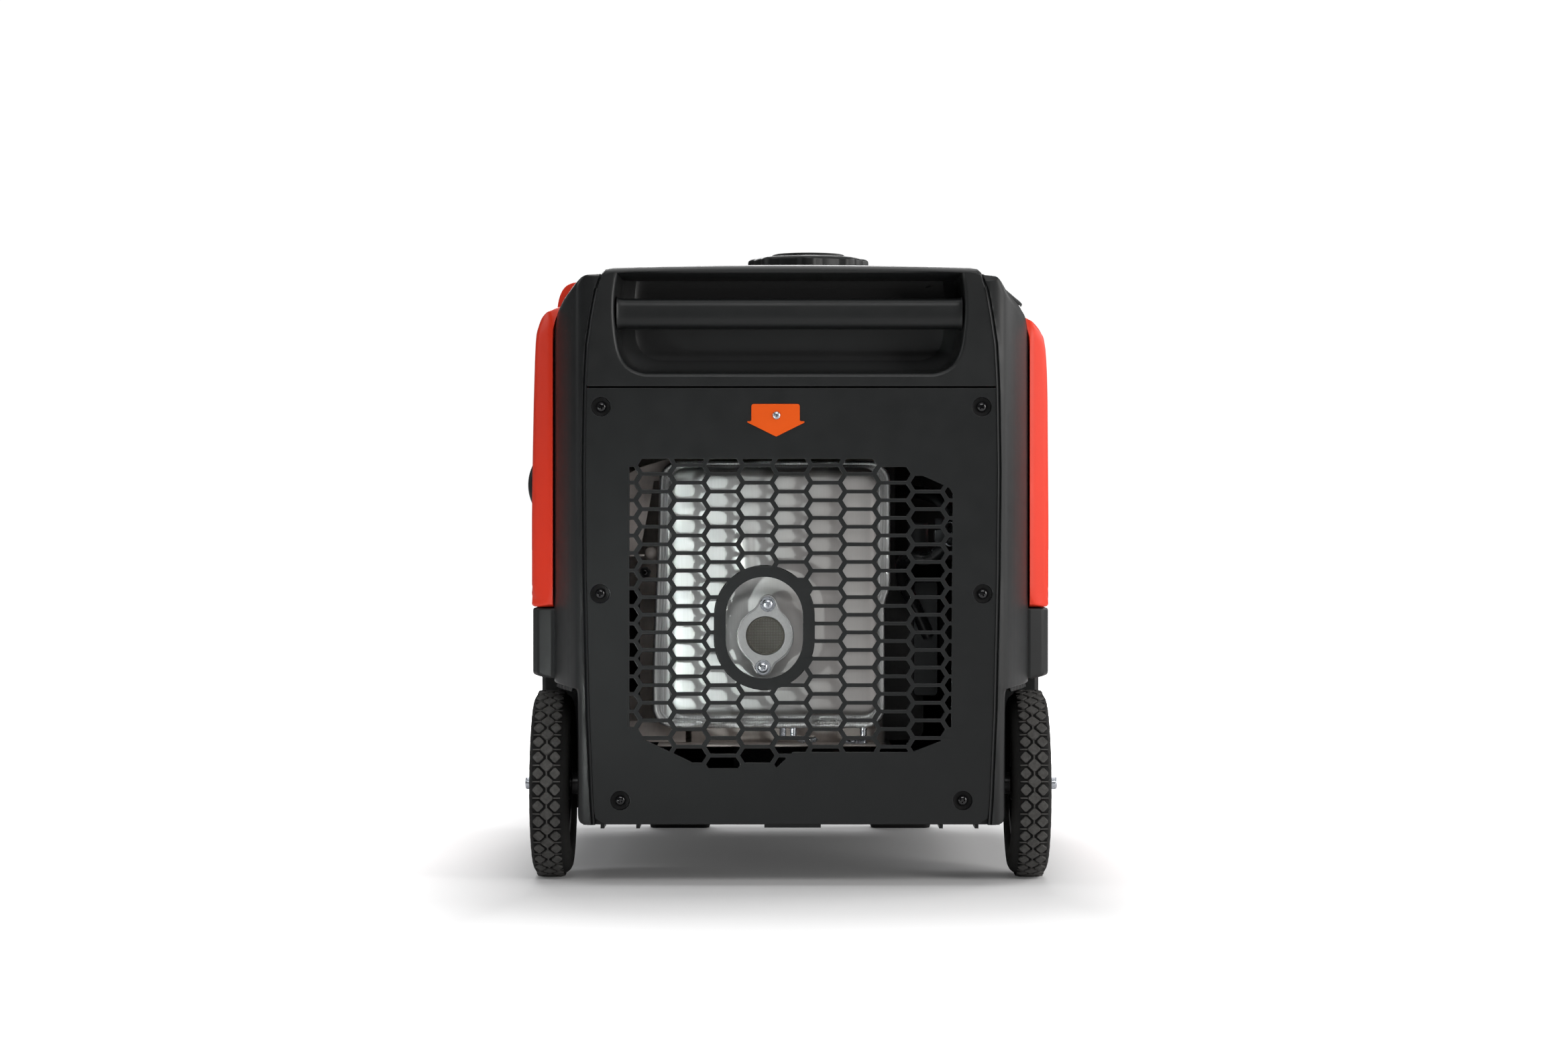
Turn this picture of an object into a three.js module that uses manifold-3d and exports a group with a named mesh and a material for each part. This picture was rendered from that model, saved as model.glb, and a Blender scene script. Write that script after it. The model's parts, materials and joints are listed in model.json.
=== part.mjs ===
// Portable closed-frame inverter generator with a wheeled exhaust end.
// Millimetres, +Z up. Origin: centre of the footprint, at the floor.
// -Y is the exhaust and wheel end, +Y the control and tow-handle end,
// +X is to the right when facing the exhaust end.
import * as THREE from 'three';
import { mergeVertices } from 'three/addons/utils/BufferGeometryUtils.js';
import Module from 'manifold-3d';

const wasm = await Module();
wasm.setup();

// ---------------------------------------------------------------- dimensions
const Y_EXHAUST = -305;      // plane of the exhaust grille panel
const Y_CONTROL = 290;       // plane of the control end shell
const Z_BOTTOM = 50;         // underside of the enclosure
const Z_BAND = 165;          // top of the wheel wells
const Z_CROWN = 508;         // crown of the roof
const HALF_SHELL = 198;      // half width of the black shell behind the side covers
const HALF_BAND = 213.5;     // half width of the lower band, skirt and side covers
const HALF_BASE = 174;       // half width between the wheel wells
const Y_WELL = -128;         // rear limit of the wheel wells
const WALL = 3;              // moulded wall thickness
const GAP = 0.5;             // seam between neighbouring mouldings

const TYRE_OD = 156, TYRE_W = 29.6, WHEEL_X = 198.5;
const AXLE_Y = -215, AXLE_Z = TYRE_OD / 2, AXLE_R = 5.15, AXLE_END_X = 222.3;

const SEAM_Z = 405.6;        // joint between exhaust end cap and grille panel
const GRILLE_T = 3;          // grille panel thickness
const HEX_PITCH_X = 27.65, HEX_PITCH_Z = 14.28;
const HEX_HALF_W = 13.85, HEX_FLAT = 10.3, HEX_HALF_H = 5.6;
const RING_X = -22, RING_Z = 210.5;             // oval exhaust ring in the grille
const RING_OUT = [82, 101.6], RING_IN = [62.6, 82.4];
const SCREWS = [[-154.5, 389.7], [154.5, 389.7], [-155.3, 238], [155.3, 238], [-139, 70.3], [139, 70.3]];

const RECESS_X = -1.5, RECESS_DEPTH = 58;       // hand recess of the end caps
const BAR_Z = 465.6, BAR_R = 12.5;              // carry bar across the recess

const OUTLET_X = -21.2, OUTLET_Z = 203.7;       // exhaust outlet centre
const FLANGE_R = 23.3, BORE_R = 15.5, EAR = 25.8, EAR_R = 7.7, EAR_TILT = 4.4;

const CAP_X = 15, CAP_Y = -105;                 // fuel filler
const CRANK_Y = -24, CRANK_Z = 196;             // crankshaft, along X
const GRIP_Y = -150, GRIP_Z = 328;              // recoil starter grip
const DOOR = [-90, 130, 250, 440];              // service door opening: y0, y1, z0, z1
const DOOR_HINGE_X = 212, DOOR_HINGE_Z = 252.5; // its hinge axis, along Y
const HANDLE_X = 170, HANDLE_Y = 299, HANDLE_PIVOT_Z = 96, HANDLE_TOP_Z = 404, HANDLE_R = 6;

// ---------------------------------------------------------------- materials
const mat = (color, roughness, metalness = 0) => new THREE.MeshStandardMaterial({ color, roughness, metalness });
const BLACK = () => mat(0x2d3031, 0.55);
const RED = () => mat(0xd9402c, 0.45);
const ORANGE = () => mat(0xe65f1e, 0.5);
const RUBBER = () => mat(0x3a3836, 0.9);
const STEEL = () => mat(0xb9bcbf, 0.3, 1);
const ALUMINIUM = () => mat(0xaeb1b4, 0.4, 1);
const CAST = () => mat(0x85888b, 0.6, 0.8);
const SHEET = () => mat(0x6d675f, 0.6, 0.7);
const GREY = () => mat(0x585c5e, 0.6);

// ---------------------------------------------------------------- helpers
const X = new THREE.Vector3(1, 0, 0), Y = new THREE.Vector3(0, 1, 0), Z = new THREE.Vector3(0, 0, 1);
const NEG_Y = new THREE.Vector3(0, -1, 0);
const frameOf = (a, b, c) => new THREE.Matrix4().makeBasis(a, b, c);

function solid(geometry) {
  const g0 = geometry.index ? geometry.toNonIndexed() : geometry.clone();
  g0.deleteAttribute('normal');
  g0.deleteAttribute('uv');
  const g = mergeVertices(g0, 1e-4);
  const pos = Float32Array.from(g.attributes.position.array);
  const idx = g.index.array, tris = [];
  for (let i = 0; i < idx.length; i += 3) {
    const [a, b, c] = [idx[i], idx[i + 1], idx[i + 2]];
    if (a !== b && b !== c && a !== c) tris.push(a, b, c);
  }
  const m = new wasm.Manifold(new wasm.Mesh({ numProp: 3, vertProperties: pos, triVerts: Uint32Array.from(tris) }));
  if (m.volume() < 0) throw new Error('inside-out solid');
  return m;
}
const join = (...list) => list.reduce((a, b) => a.add(b));
const cut = (a, ...list) => list.reduce((x, b) => x.subtract(b), a);
const both = (a, ...list) => list.reduce((x, b) => x.intersect(b), a);

// polygon helpers: a list of [u, v] corners, counter-clockwise or clockwise
const area = p => p.reduce((s, [x, y], i) => { const [u, v] = p[(i + 1) % p.length]; return s + x * v - u * y; }, 0) / 2;
function roundCorners(pts, r, n = 3) {
  const out = [];
  pts.forEach((p, i) => {
    const rr = Array.isArray(r) ? r[i] : r;
    const a = pts[(i + pts.length - 1) % pts.length], b = pts[(i + 1) % pts.length];
    if (!rr) { out.push(p); return; }
    const va = [a[0] - p[0], a[1] - p[1]], vb = [b[0] - p[0], b[1] - p[1]];
    const la = Math.hypot(...va), lb = Math.hypot(...vb);
    const ua = va.map(v => v / la), ub = vb.map(v => v / lb);
    const ang = Math.acos(Math.max(-1, Math.min(1, ua[0] * ub[0] + ua[1] * ub[1])));
    const t = Math.min(rr / Math.tan(ang / 2), la * 0.49, lb * 0.49);
    const q0 = [p[0] + ua[0] * t, p[1] + ua[1] * t], q1 = [p[0] + ub[0] * t, p[1] + ub[1] * t];
    const rad = t * Math.tan(ang / 2), d = rad / Math.sin(ang / 2);
    const bis = [ua[0] + ub[0], ua[1] + ub[1]], lbis = Math.hypot(...bis);
    const c = [p[0] + bis[0] / lbis * d, p[1] + bis[1] / lbis * d];
    let t0 = Math.atan2(q0[1] - c[1], q0[0] - c[0]), t1 = Math.atan2(q1[1] - c[1], q1[0] - c[0]);
    let dt = t1 - t0;
    while (dt > Math.PI) dt -= 2 * Math.PI;
    while (dt < -Math.PI) dt += 2 * Math.PI;
    for (let k = 0; k <= n; k++) out.push([c[0] + rad * Math.cos(t0 + dt * k / n), c[1] + rad * Math.sin(t0 + dt * k / n)]);
  });
  return out;
}
const rectPts = (x0, x1, y0, y1) => [[x0, y0], [x1, y0], [x1, y1], [x0, y1]];
const mirrorPts = half => [...half, ...half.slice().reverse().map(([x, y]) => [-x, y]).filter(([x]) => x !== 0)];
const circlePts = (cx, cy, r, n, a0 = 0) => Array.from({ length: n }, (_, i) => [cx + r * Math.cos(a0 + 2 * Math.PI * i / n), cy + r * Math.sin(a0 + 2 * Math.PI * i / n)]);
function ovalPts(cx, cy, w, h, n = 7) {
  const r = w / 2, s = (h - w) / 2, out = [];
  for (let i = 0; i <= n; i++) { const t = Math.PI * i / n; out.push([cx + r * Math.cos(t), cy + s + r * Math.sin(t)]); }
  for (let i = 0; i <= n; i++) { const t = Math.PI + Math.PI * i / n; out.push([cx + r * Math.cos(t), cy - s + r * Math.sin(t)]); }
  return out;
}
const toShape = (pts, holes = []) => {
  const p = area(pts) > 0 ? pts : pts.slice().reverse();
  const s = new THREE.Shape(p.map(([x, y]) => new THREE.Vector2(x, y)));
  for (const h of holes) s.holes.push(new THREE.Path((area(h) < 0 ? h : h.slice().reverse()).map(([x, y]) => new THREE.Vector2(x, y))));
  return s;
};
const extrude = (pts, depth, holes) => new THREE.ExtrudeGeometry(toShape(pts, holes), { depth, bevelEnabled: false, steps: 1 });
// section in the XZ plane, running from y0 to y1
const secXZ = (pts, y0, y1, holes) => solid(extrude(pts, y1 - y0, holes).applyMatrix4(frameOf(X, Z, NEG_Y)).translate(0, y1, 0));
// section in the YZ plane, running from x0 to x1
const secYZ = (pts, x0, x1, holes) => solid(extrude(pts, x1 - x0, holes).applyMatrix4(frameOf(Y, Z, X)).translate(x0, 0, 0));
// section in the XY plane, running from z0 to z1
const secXY = (pts, z0, z1, holes) => solid(extrude(pts, z1 - z0, holes).translate(0, 0, z0));
const box = (x0, x1, y0, y1, z0, z1) => solid(new THREE.BoxGeometry(x1 - x0, y1 - y0, z1 - z0).translate((x0 + x1) / 2, (y0 + y1) / 2, (z0 + z1) / 2));
const cylY = (r, x, z, y0, y1, n = 20, r2 = r) => solid(new THREE.CylinderGeometry(r2, r, y1 - y0, n).translate(x, (y0 + y1) / 2, z));
const cylZ = (r, x, y, z0, z1, n = 20, r2 = r) => solid(new THREE.CylinderGeometry(r2, r, z1 - z0, n).rotateX(Math.PI / 2).translate(x, y, (z0 + z1) / 2));
const cylX = (r, y, z, x0, x1, n = 20, r2 = r) => solid(new THREE.CylinderGeometry(r2, r, x1 - x0, n).rotateZ(-Math.PI / 2).translate((x0 + x1) / 2, y, z));
// body of revolution; profile [radius, along], turned to run along x, y or z, or the other way along -y
function lathe(profile, n, along, at = [0, 0, 0]) {
  const p = profile.map(([r, h]) => new THREE.Vector2(r, h));
  const onAxis = profile[0][0] === 0 && profile[profile.length - 1][0] === 0;
  if (!onAxis) p.push(p[0].clone());
  let g = new THREE.LatheGeometry(p, n);
  if (along === 'x') g.rotateZ(-Math.PI / 2);
  if (along === '-y') g.rotateX(Math.PI);
  if (along === 'z') g.rotateX(Math.PI / 2);
  g.translate(...at);
  const g0 = g.toNonIndexed(); g0.deleteAttribute('normal'); g0.deleteAttribute('uv');
  const m = mergeVertices(g0, 1e-4), i = m.index.array, q = m.attributes.position;
  let vol = 0;
  const a = new THREE.Vector3(), b = new THREE.Vector3(), c = new THREE.Vector3();
  for (let k = 0; k < i.length; k += 3) vol += a.fromBufferAttribute(q, i[k]).dot(b.fromBufferAttribute(q, i[k + 1]).cross(c.fromBufferAttribute(q, i[k + 2])));
  if (vol < 0) {
    const idx = Array.from(i);
    for (let k = 0; k < idx.length; k += 3) [idx[k + 1], idx[k + 2]] = [idx[k + 2], idx[k + 1]];
    m.setIndex(idx);
  }
  return solid(m);
}
function mesh(name, manifold, material) {
  const src = manifold.getMesh(), np = src.numProp;
  const pos = new Float32Array(src.numVert * 3);
  for (let i = 0; i < src.numVert; i++) for (let k = 0; k < 3; k++) pos[3 * i + k] = src.vertProperties[np * i + k];
  const g = new THREE.BufferGeometry();
  g.setAttribute('position', new THREE.BufferAttribute(pos, 3));
  g.setIndex(new THREE.BufferAttribute(Uint32Array.from(src.triVerts), 1));
  g.computeVertexNormals();
  const m = new THREE.Mesh(g, material);
  m.name = name;
  return m;
}
const generator = new THREE.Group();
generator.name = 'portable_generator';
const put = (name, manifold, material) => generator.add(mesh(name, manifold, material));

// ---------------------------------------------------------------- enclosure
// seam between the end mouldings and the side shells, as half-widths by height
const SEAM = [[161, 50], [162.5, 72], [165.5, 143], [168, 254], [168.8, 338], [167.8, 405], [166, 440], [162.7, 463], [159, 484], [154.5, 497], [150, 506]];
const seamHalf = (d, z0, z1) => {
  const at = z => {
    for (let i = 0; i + 1 < SEAM.length; i++) {
      const [xa, za] = SEAM[i], [xb, zb] = SEAM[i + 1];
      if (z <= zb) return xa + (xb - xa) * Math.max(0, (z - za) / (zb - za));
    }
    return SEAM[SEAM.length - 1][0];
  };
  return [[at(z0) + d, z0], ...SEAM.filter(([, z]) => z > z0 + 1 && z < z1 - 1).map(([x, z]) => [x + d, z]), [at(z1) + d, z1]];
};
const insideSeam = (d, z0, z1, y0, y1) => {
  const h = seamHalf(d, z0, z1);
  return secXZ([...h, ...h.slice().reverse().map(([x, z]) => [-x, z])], y0, y1);
};

function envelope(inset) {
  const t = inset;
  const roof = mirrorPts([[0, Z_CROWN - t], [150, 505 - t], [172 - t * 0.4, 500 - t * 0.9], [192 - t * 0.9, 476 - t * 0.4], [HALF_SHELL - t, 452], [HALF_SHELL - t, Z_BAND - 2 + t]]);
  const plan = mirrorPts([[0, Y_EXHAUST + t], [160 - t * 0.4, Y_EXHAUST + t], [170 - t * 0.5, -303.5 + t], [177 - t * 0.9, -299 + t * 0.7], [192 - t, -262 + t * 0.3], [HALF_SHELL - t, -244], [HALF_SHELL - t, 246], [194 - t, 264 - t * 0.5], [184 - t * 0.7, 279 - t * 0.7], [168 - t * 0.4, 288 - t], [150, Y_CONTROL - t], [0, Y_CONTROL - t]]);
  const upper = both(secXZ(roof, -320, 320), secXY(plan, 100, 520));
  const bandPlan = mirrorPts([[0, -246 + t], [HALF_SHELL - t, -246 + t], [209 - t, -243 + t], [HALF_BAND - t, -236 + t], [HALF_BAND - t, 236 - t], [208 - t, 252 - t], [197 - t, 262 - t], [0, 262 - t]]);
  const band = both(secXZ(mirrorPts([[0, 225 - t], [HALF_BAND - t, 225 - t], [HALF_BAND - t, 170 + t * 0.8], [HALF_BASE - t, 160 + t], [0, 160 + t]]), -320, 320), secXY(bandPlan, 100, 300));
  const low = inset ? 40 : Z_BOTTOM;
  const basePlan = mirrorPts([[0, Y_EXHAUST + t], [160, Y_EXHAUST + t], [168.5 - t * 0.5, -303 + t], [HALF_BASE - t, -297 + t * 0.6], [HALF_BASE - t, Y_WELL + t], [HALF_BAND - 3 - t, Y_WELL + t], [HALF_BAND - t, Y_WELL + 3 + t], [HALF_BAND - t, 236 - t], [208 - t, 252 - t], [197 - t, 266 - t], [184 - t * 0.7, 279 - t * 0.7], [168 - t * 0.4, 288 - t], [150, Y_CONTROL - t], [0, Y_CONTROL - t]]);
  const base = secXY(basePlan, low, 172);
  // the roof edges fall away at both ends
  const side = secYZ([[Y_EXHAUST - 1, 30], [Y_EXHAUST - 1, 500.5 - t], [Y_EXHAUST + t, 501.5 - t], [Y_EXHAUST + 6 + t * 0.5, 507 - t], [Y_EXHAUST + 20, 520], [262, 520], [268 - t * 0.4, 507 - t], [283 - t * 0.9, 498 - t * 0.6], [Y_CONTROL - t, 484], [Y_CONTROL + 1, 470], [Y_CONTROL + 1, 30]], -260, 260);
  return both(join(upper, band, base), side);
}
const SHELL = cut(envelope(0), envelope(WALL));
const FAR = 400;

// side shells
const ventWindow = (s, y) => box(Math.min(s * 190, s * 206), Math.max(s * 190, s * 206), y, y + 56, 268, 324);
function sideShell(s) {
  const a = seamHalf(GAP, 40, 504.2);
  const outer = [...a, [150.5, 520], [260, 520], [260, 40]].map(([x, z]) => [s * x, z]);
  const region = secXZ(outer, -320, 234.5);
  const roofCut = box(-150.5, 150.5, -234, 320, 470, 520);
  let m = cut(both(SHELL, region), roofCut);
  // right: service opening and an exhaust-side vent; left: cooling vents and the rope passage
  if (s > 0) m = cut(m, secYZ(roundCorners(rectPts(DOOR[0] + 2, DOOR[1] - 2, DOOR[2] + 2, DOOR[3] - 2), 8, 3), 185, 206), ventWindow(1, -194));
  else m = cut(m, ventWindow(-1, -55), ventWindow(-1, 25), ventWindow(-1, 105), cylX(7, GRIP_Y, GRIP_Z, -206, -190, 12));
  // panel and inner parts of the end face are open between the seams
  m = cut(m, insideSeam(GAP, 40, 505.5, -320, -290));
  // axle passage through the well wall
  m = cut(m, cylX(6.2, AXLE_Y, AXLE_Z, Math.min(s * 165, s * 180), Math.max(s * 165, s * 180), 16));
  return m;
}
const rightLip = secXZ([[186.5, 483.8], [194.6, 491.2], [201.6, 483.4], [196, 474], [190.5, 477]], -150, -10);
put('left_side_shell', sideShell(-1), BLACK());
put('right_side_shell', join(sideShell(1), rightLip), BLACK());

// roof
const neckHole = cylZ(31, CAP_X, CAP_Y, 480, 520, 20);
const roofRegion = box(-150, 150, -234.5, 234.5, 480, 520);
put('top_cover', join(cut(both(SHELL, roofRegion), neckHole),
  cut(cylZ(53, CAP_X, CAP_Y, 503.5, 508.6, 28), cylZ(31, CAP_X, CAP_Y, 500, 520, 20))), BLACK());

// hand recess, shared by both end mouldings
const recessHalf = d => [[139.3 + d, 497.6 + d], [142.3 + d, 472], [140.5 + d, 446], [137 + d * 0.9, 431 - d * 0.4], [129 + d * 0.7, 420.5 - d * 0.7], [117, 417.3 - d]];
const recessPts = (cx, d) => {
  const h = recessHalf(d);
  return [...h.map(([x, z]) => [cx + x, z]), ...h.slice().reverse().map(([x, z]) => [cx - x, z])];
};
// exhaust end cap
{
  const region = insideSeam(-GAP, SEAM_Z + 0.8, 505.5, -320, -235);
  const cap = both(SHELL, join(region, box(-149.5, 149.5, -320, -235, 490, 520)));
  const tub = both(secXZ(recessPts(RECESS_X, 3), Y_EXHAUST, Y_EXHAUST + RECESS_DEPTH + 3), insideSeam(-GAP, SEAM_Z + 0.8, 505, -320, -200));
  put('exhaust_end_cap', cut(join(cap, tub), secXZ(recessPts(RECESS_X, 0), -320, Y_EXHAUST + RECESS_DEPTH)), BLACK());
}
put('exhaust_carry_bar', join(cylX(BAR_R, Y_EXHAUST + 15, BAR_Z, -142.0, 139.0, 18)), BLACK());

// exhaust grille panel
{
  const h = seamHalf(-GAP, 51.5, SEAM_Z - 0.8);
  const outline = roundCorners([...h, ...h.slice().reverse().map(([x, z]) => [-x, z])], [12, ...Array(h.length - 1).fill(0), ...Array(h.length - 1).fill(0), 12], 4);
  const open = [[-131.4, 347.4], [75.3, 347.4], [81.9, 344.1], [94.4, 340.3], [107.4, 333.3], [123.2, 326.2], [128.1, 323.7], [130.8, 319.1], [129.5, 130.3], [128.1, 126], [120.5, 118.4], [97.7, 109.7], [1, 109.7], [-12.8, 96.6], [-73.2, 96.6], [-83.5, 102.9], [-118.9, 119.4], [-123.8, 121.6], [-131.4, 130.3]];
  const hexes = [];
  for (let i = -5; i <= 5; i++) for (let k = -1; k < 17; k++) {
    const cx = i * HEX_PITCH_X, cz = (i % 2 ? 321.0 : 313.8) - HEX_PITCH_Z * (k - 1);
    if (cz < 90 || cz > 352) continue;
    hexes.push([[cx - HEX_HALF_W, cz], [cx - HEX_FLAT, cz - HEX_HALF_H], [cx + HEX_FLAT, cz - HEX_HALF_H], [cx + HEX_HALF_W, cz], [cx + HEX_FLAT, cz + HEX_HALF_H], [cx - HEX_FLAT, cz + HEX_HALF_H]]);
  }
  const field = secXZ(open, -318, -292);
  const ring = secXZ(ovalPts(RING_X, RING_Z, ...RING_OUT), -330, -280);
  const ringHole = secXZ(ovalPts(RING_X, RING_Z, ...RING_IN), -330, -280);
  // a cell is clipped by the field's outline and the ring; small remnants stay solid
  const cells = hexes.map(p => cut(both(secXZ(p, -320, -290), field), ring)).filter(m => m.volume() > 26 * 30);
  let p = secXZ(outline, Y_EXHAUST, Y_EXHAUST + GRILLE_T);
  p = cut(p, ...cells, ringHole);
  for (const [x, z] of SCREWS) {
    p = join(p, cylY(10, x, z, Y_EXHAUST + 1, Y_EXHAUST + 7.4, 10));
    p = cut(p, cylY(7.8, x, z, -320, Y_EXHAUST + 4.4, 12), cylY(2.7, x, z, -320, -290, 6));
  }
  put('exhaust_grille_panel', p, BLACK());
}
SCREWS.forEach(([x, z], i) => {
  const y = Y_EXHAUST + 4.1;
  put(`panel_screw_${i + 1}`, lathe([[0, -12], [1.9, -12], [1.9, 0], [4.15, 0], [4.15, 0.9], [2.9, 2.6], [0, 3.4]], 8, '-y', [x, y, z]), BLACK());
});

// arrow plate and its screw
{
  const pts = [[-32.5, 392], [6.8, 392], [6.8, 377.8], [12, 377.8], [-12.2, 365.5], [-37.8, 377.8], [-32.5, 377.8]];
  put('arrow_plate', cut(secXZ(pts, Y_EXHAUST - 1.1, Y_EXHAUST - 0.35), cylY(1.8, -12.1, 382.6, -320, -300, 10)), ORANGE());
  put('arrow_plate_screw', lathe([[0, 0], [3.25, 0], [3.25, 0.7], [2.4, 1.6], [0, 2.0]], 12, '-y', [-12.1, Y_EXHAUST - 1.4, 382.6]), STEEL());
}

// base pan and feet
{
  const pan = d => mirrorPts([[0, -296 + d], [158 - d, -296 + d], [169.5 - d, -289 + d], [169.5 - d, Y_WELL + 5 + d], [207 - d, Y_WELL + 5 + d], [209 - d, Y_WELL + 8 + d], [209 - d, 233 - d], [192 - d, 262 - d], [166 - d, 282 - d], [0, 283 - d]]);
  let p = cut(secXY(pan(0), 50.2, 68), secXY(pan(2.6), 54, 80));
  for (const s of [-1, 1]) p = join(p, secXY(roundCorners(rectPts(s * 107 - 28, s * 107 + 28, 255, 280), 6, 2), 28.3, 51));
  for (const x of [-154, -125, 122, 151]) p = join(p, box(x - 1.5, x + 1.5, -292, -262, 46.6, 51));
  p = join(p, box(-22, 24, -296, -276, 47.6, 51));
  put('base_pan', p, BLACK());
  for (const s of [-1, 1]) put(s < 0 ? 'left_foot' : 'right_foot', secXY(roundCorners(rectPts(s * 107 - 29, s * 107 + 29, 254, 281), 7, 3), 0, 28), RUBBER());
}

// side covers
function coverBody(s, inset) {
  const t = inset;
  const sec = [[198.6, 226], [HALF_BAND - t, 226 + t], [HALF_BAND - t, 300], [211.6 - t, 453 - t * 0.4], [199.8 - t * 0.6, 474.5 - t], [198.6, 474.5 - t]].map(([x, z]) => [s * (t ? Math.max(x, 190) : x), z]);
  if (t) { sec[0] = [s * 190, 226 + t]; sec[5] = [s * 190, 474.5 - t]; }
  const plan = [[190, -251 + t], [199, -251 + t], [210, -241 + t], [HALF_BAND + 1, -232 + t], [HALF_BAND + 1, 222 - t], [209, 233 - t], [199, 239 - t], [190, 239 - t]].map(([x, y]) => [s * x, y]);
  return both(secXZ(sec, -300, 300), secXY(plan, 200, 500));
}
const coverShell = s => cut(coverBody(s, 0), coverBody(s, WALL));
{
  // left: recoil grip pocket and the raised shoulder trim
  const pocketOut = box(-212, -199.2, GRIP_Y - 24, GRIP_Y + 24, GRIP_Z - 40, GRIP_Z + 40);
  const pocketIn = box(-220, -202, GRIP_Y - 21.5, GRIP_Y + 21.5, GRIP_Z - 37.5, GRIP_Z + 37.5);
  const wing = secXZ([[-198.6, 470], [-198.6, 477], [-195.4, 484.6], [-189.4, 493.6], [-180, 501.6], [-181, 505.4], [-188, 504.8], [-194.8, 502.2], [-198.8, 494.7], [-201.2, 485.8], [-202.4, 470.5], [-200.5, 468]], -120, 180);
  let m = join(cut(coverShell(-1), pocketIn), pocketOut, both(wing, box(-260, 0, -200, 200, 460, 520)));
  m = cut(m, pocketIn, cylX(5.5, GRIP_Y, GRIP_Z, -230, -190, 14));
  for (let k = 0; k < 5; k++) m = cut(m, secYZ(roundCorners([[-60 + k * 3, 268 + k * 15], [150 + k * 3, 268 + k * 15], [150 + k * 3, 275 + k * 15], [-60 + k * 3, 275 + k * 15]], 3, 2), -230, -205));
  put('left_side_cover', m, RED());
}
const [dy0, dy1, dz0, dz1] = DOOR;
{
  // right: frame around the service door, which turns about (DOOR_HINGE_X, DOOR_HINGE_Z)
  let m = cut(coverShell(1), secYZ(roundCorners(rectPts(dy0, dy1, dz0, dz1), [4, 4, 10, 10], 3), 190, 230));
  for (let k = 0; k < 5; k++) m = cut(m, secYZ(roundCorners(rectPts(-205, -115, 272 + k * 15, 279 + k * 15), 3, 2), 205, 230));
  put('right_side_cover', m, RED());
  const body = coverBody(1, 0);
  const outlinePts = roundCorners(rectPts(dy0 + 1, dy1 - 1, dz0 + 1, dz1 - 1), 9, 3);
  let d = both(body, secYZ(outlinePts, 204.5, 230));
  d = cut(d, secYZ(roundCorners(rectPts(dy0 + 4, dy1 - 4, dz0 + 10, dz1 - 4), 6, 2), 190, 209.4));
  d = cut(d, cylX(4.6, 20, 418, 190, 230, 16));
  // louvres
  for (let k = 0; k < 4; k++) d = cut(d, secYZ(roundCorners(rectPts(-55, 95, 282 + k * 15, 289 + k * 15), 3, 2), 190, 230));
  put('service_door', d, RED());
  put('door_latch_knob', join(
    lathe([[0, 202], [4.2, 202], [4.2, 212.5], [13, 212.5], [13, 215], [12, 216], [0, 216]], 20, 'x', [0, 20, 418]),
    box(215, 220.5, 9.5, 30.5, 416, 420)), BLACK());
}

// control end shell with its hand recess, carry bar and tow handle lugs
{
  let m = both(SHELL, box(-260, 260, 235, 320, 40, 520));
  m = cut(m, box(-150, 150, 260, 320, 122, 394));
  const y1 = Y_CONTROL - 50;
  m = join(m, both(secXZ(recessPts(0, 3), y1 - 3, Y_CONTROL), insideSeam(-2, 400, 505, 200, 300)));
  m = cut(m, secXZ(recessPts(0, 0), y1, 320));
  m = join(m, cylX(11.5, Y_CONTROL - 13, BAR_Z, -143, 143, 14));
  for (const s of [-1, 1]) for (const dx of [-9.5, 9.5]) {
    const x = s * HANDLE_X + dx;
    const ear = secYZ([[280, 82], [296, 82], [304.5, 90], [304.5, 102], [296, 110], [280, 110]], x - 1.8, x + 1.8);
    m = join(m, ear);
    m = cut(m, cylX(3.6, HANDLE_Y, HANDLE_PIVOT_Z, x - 5, x + 5, 8));
  }
  m = cut(m, box(-149, 149, 200, 286.8, 110, 398));
  put('control_end_shell', m, BLACK());
}

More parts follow.
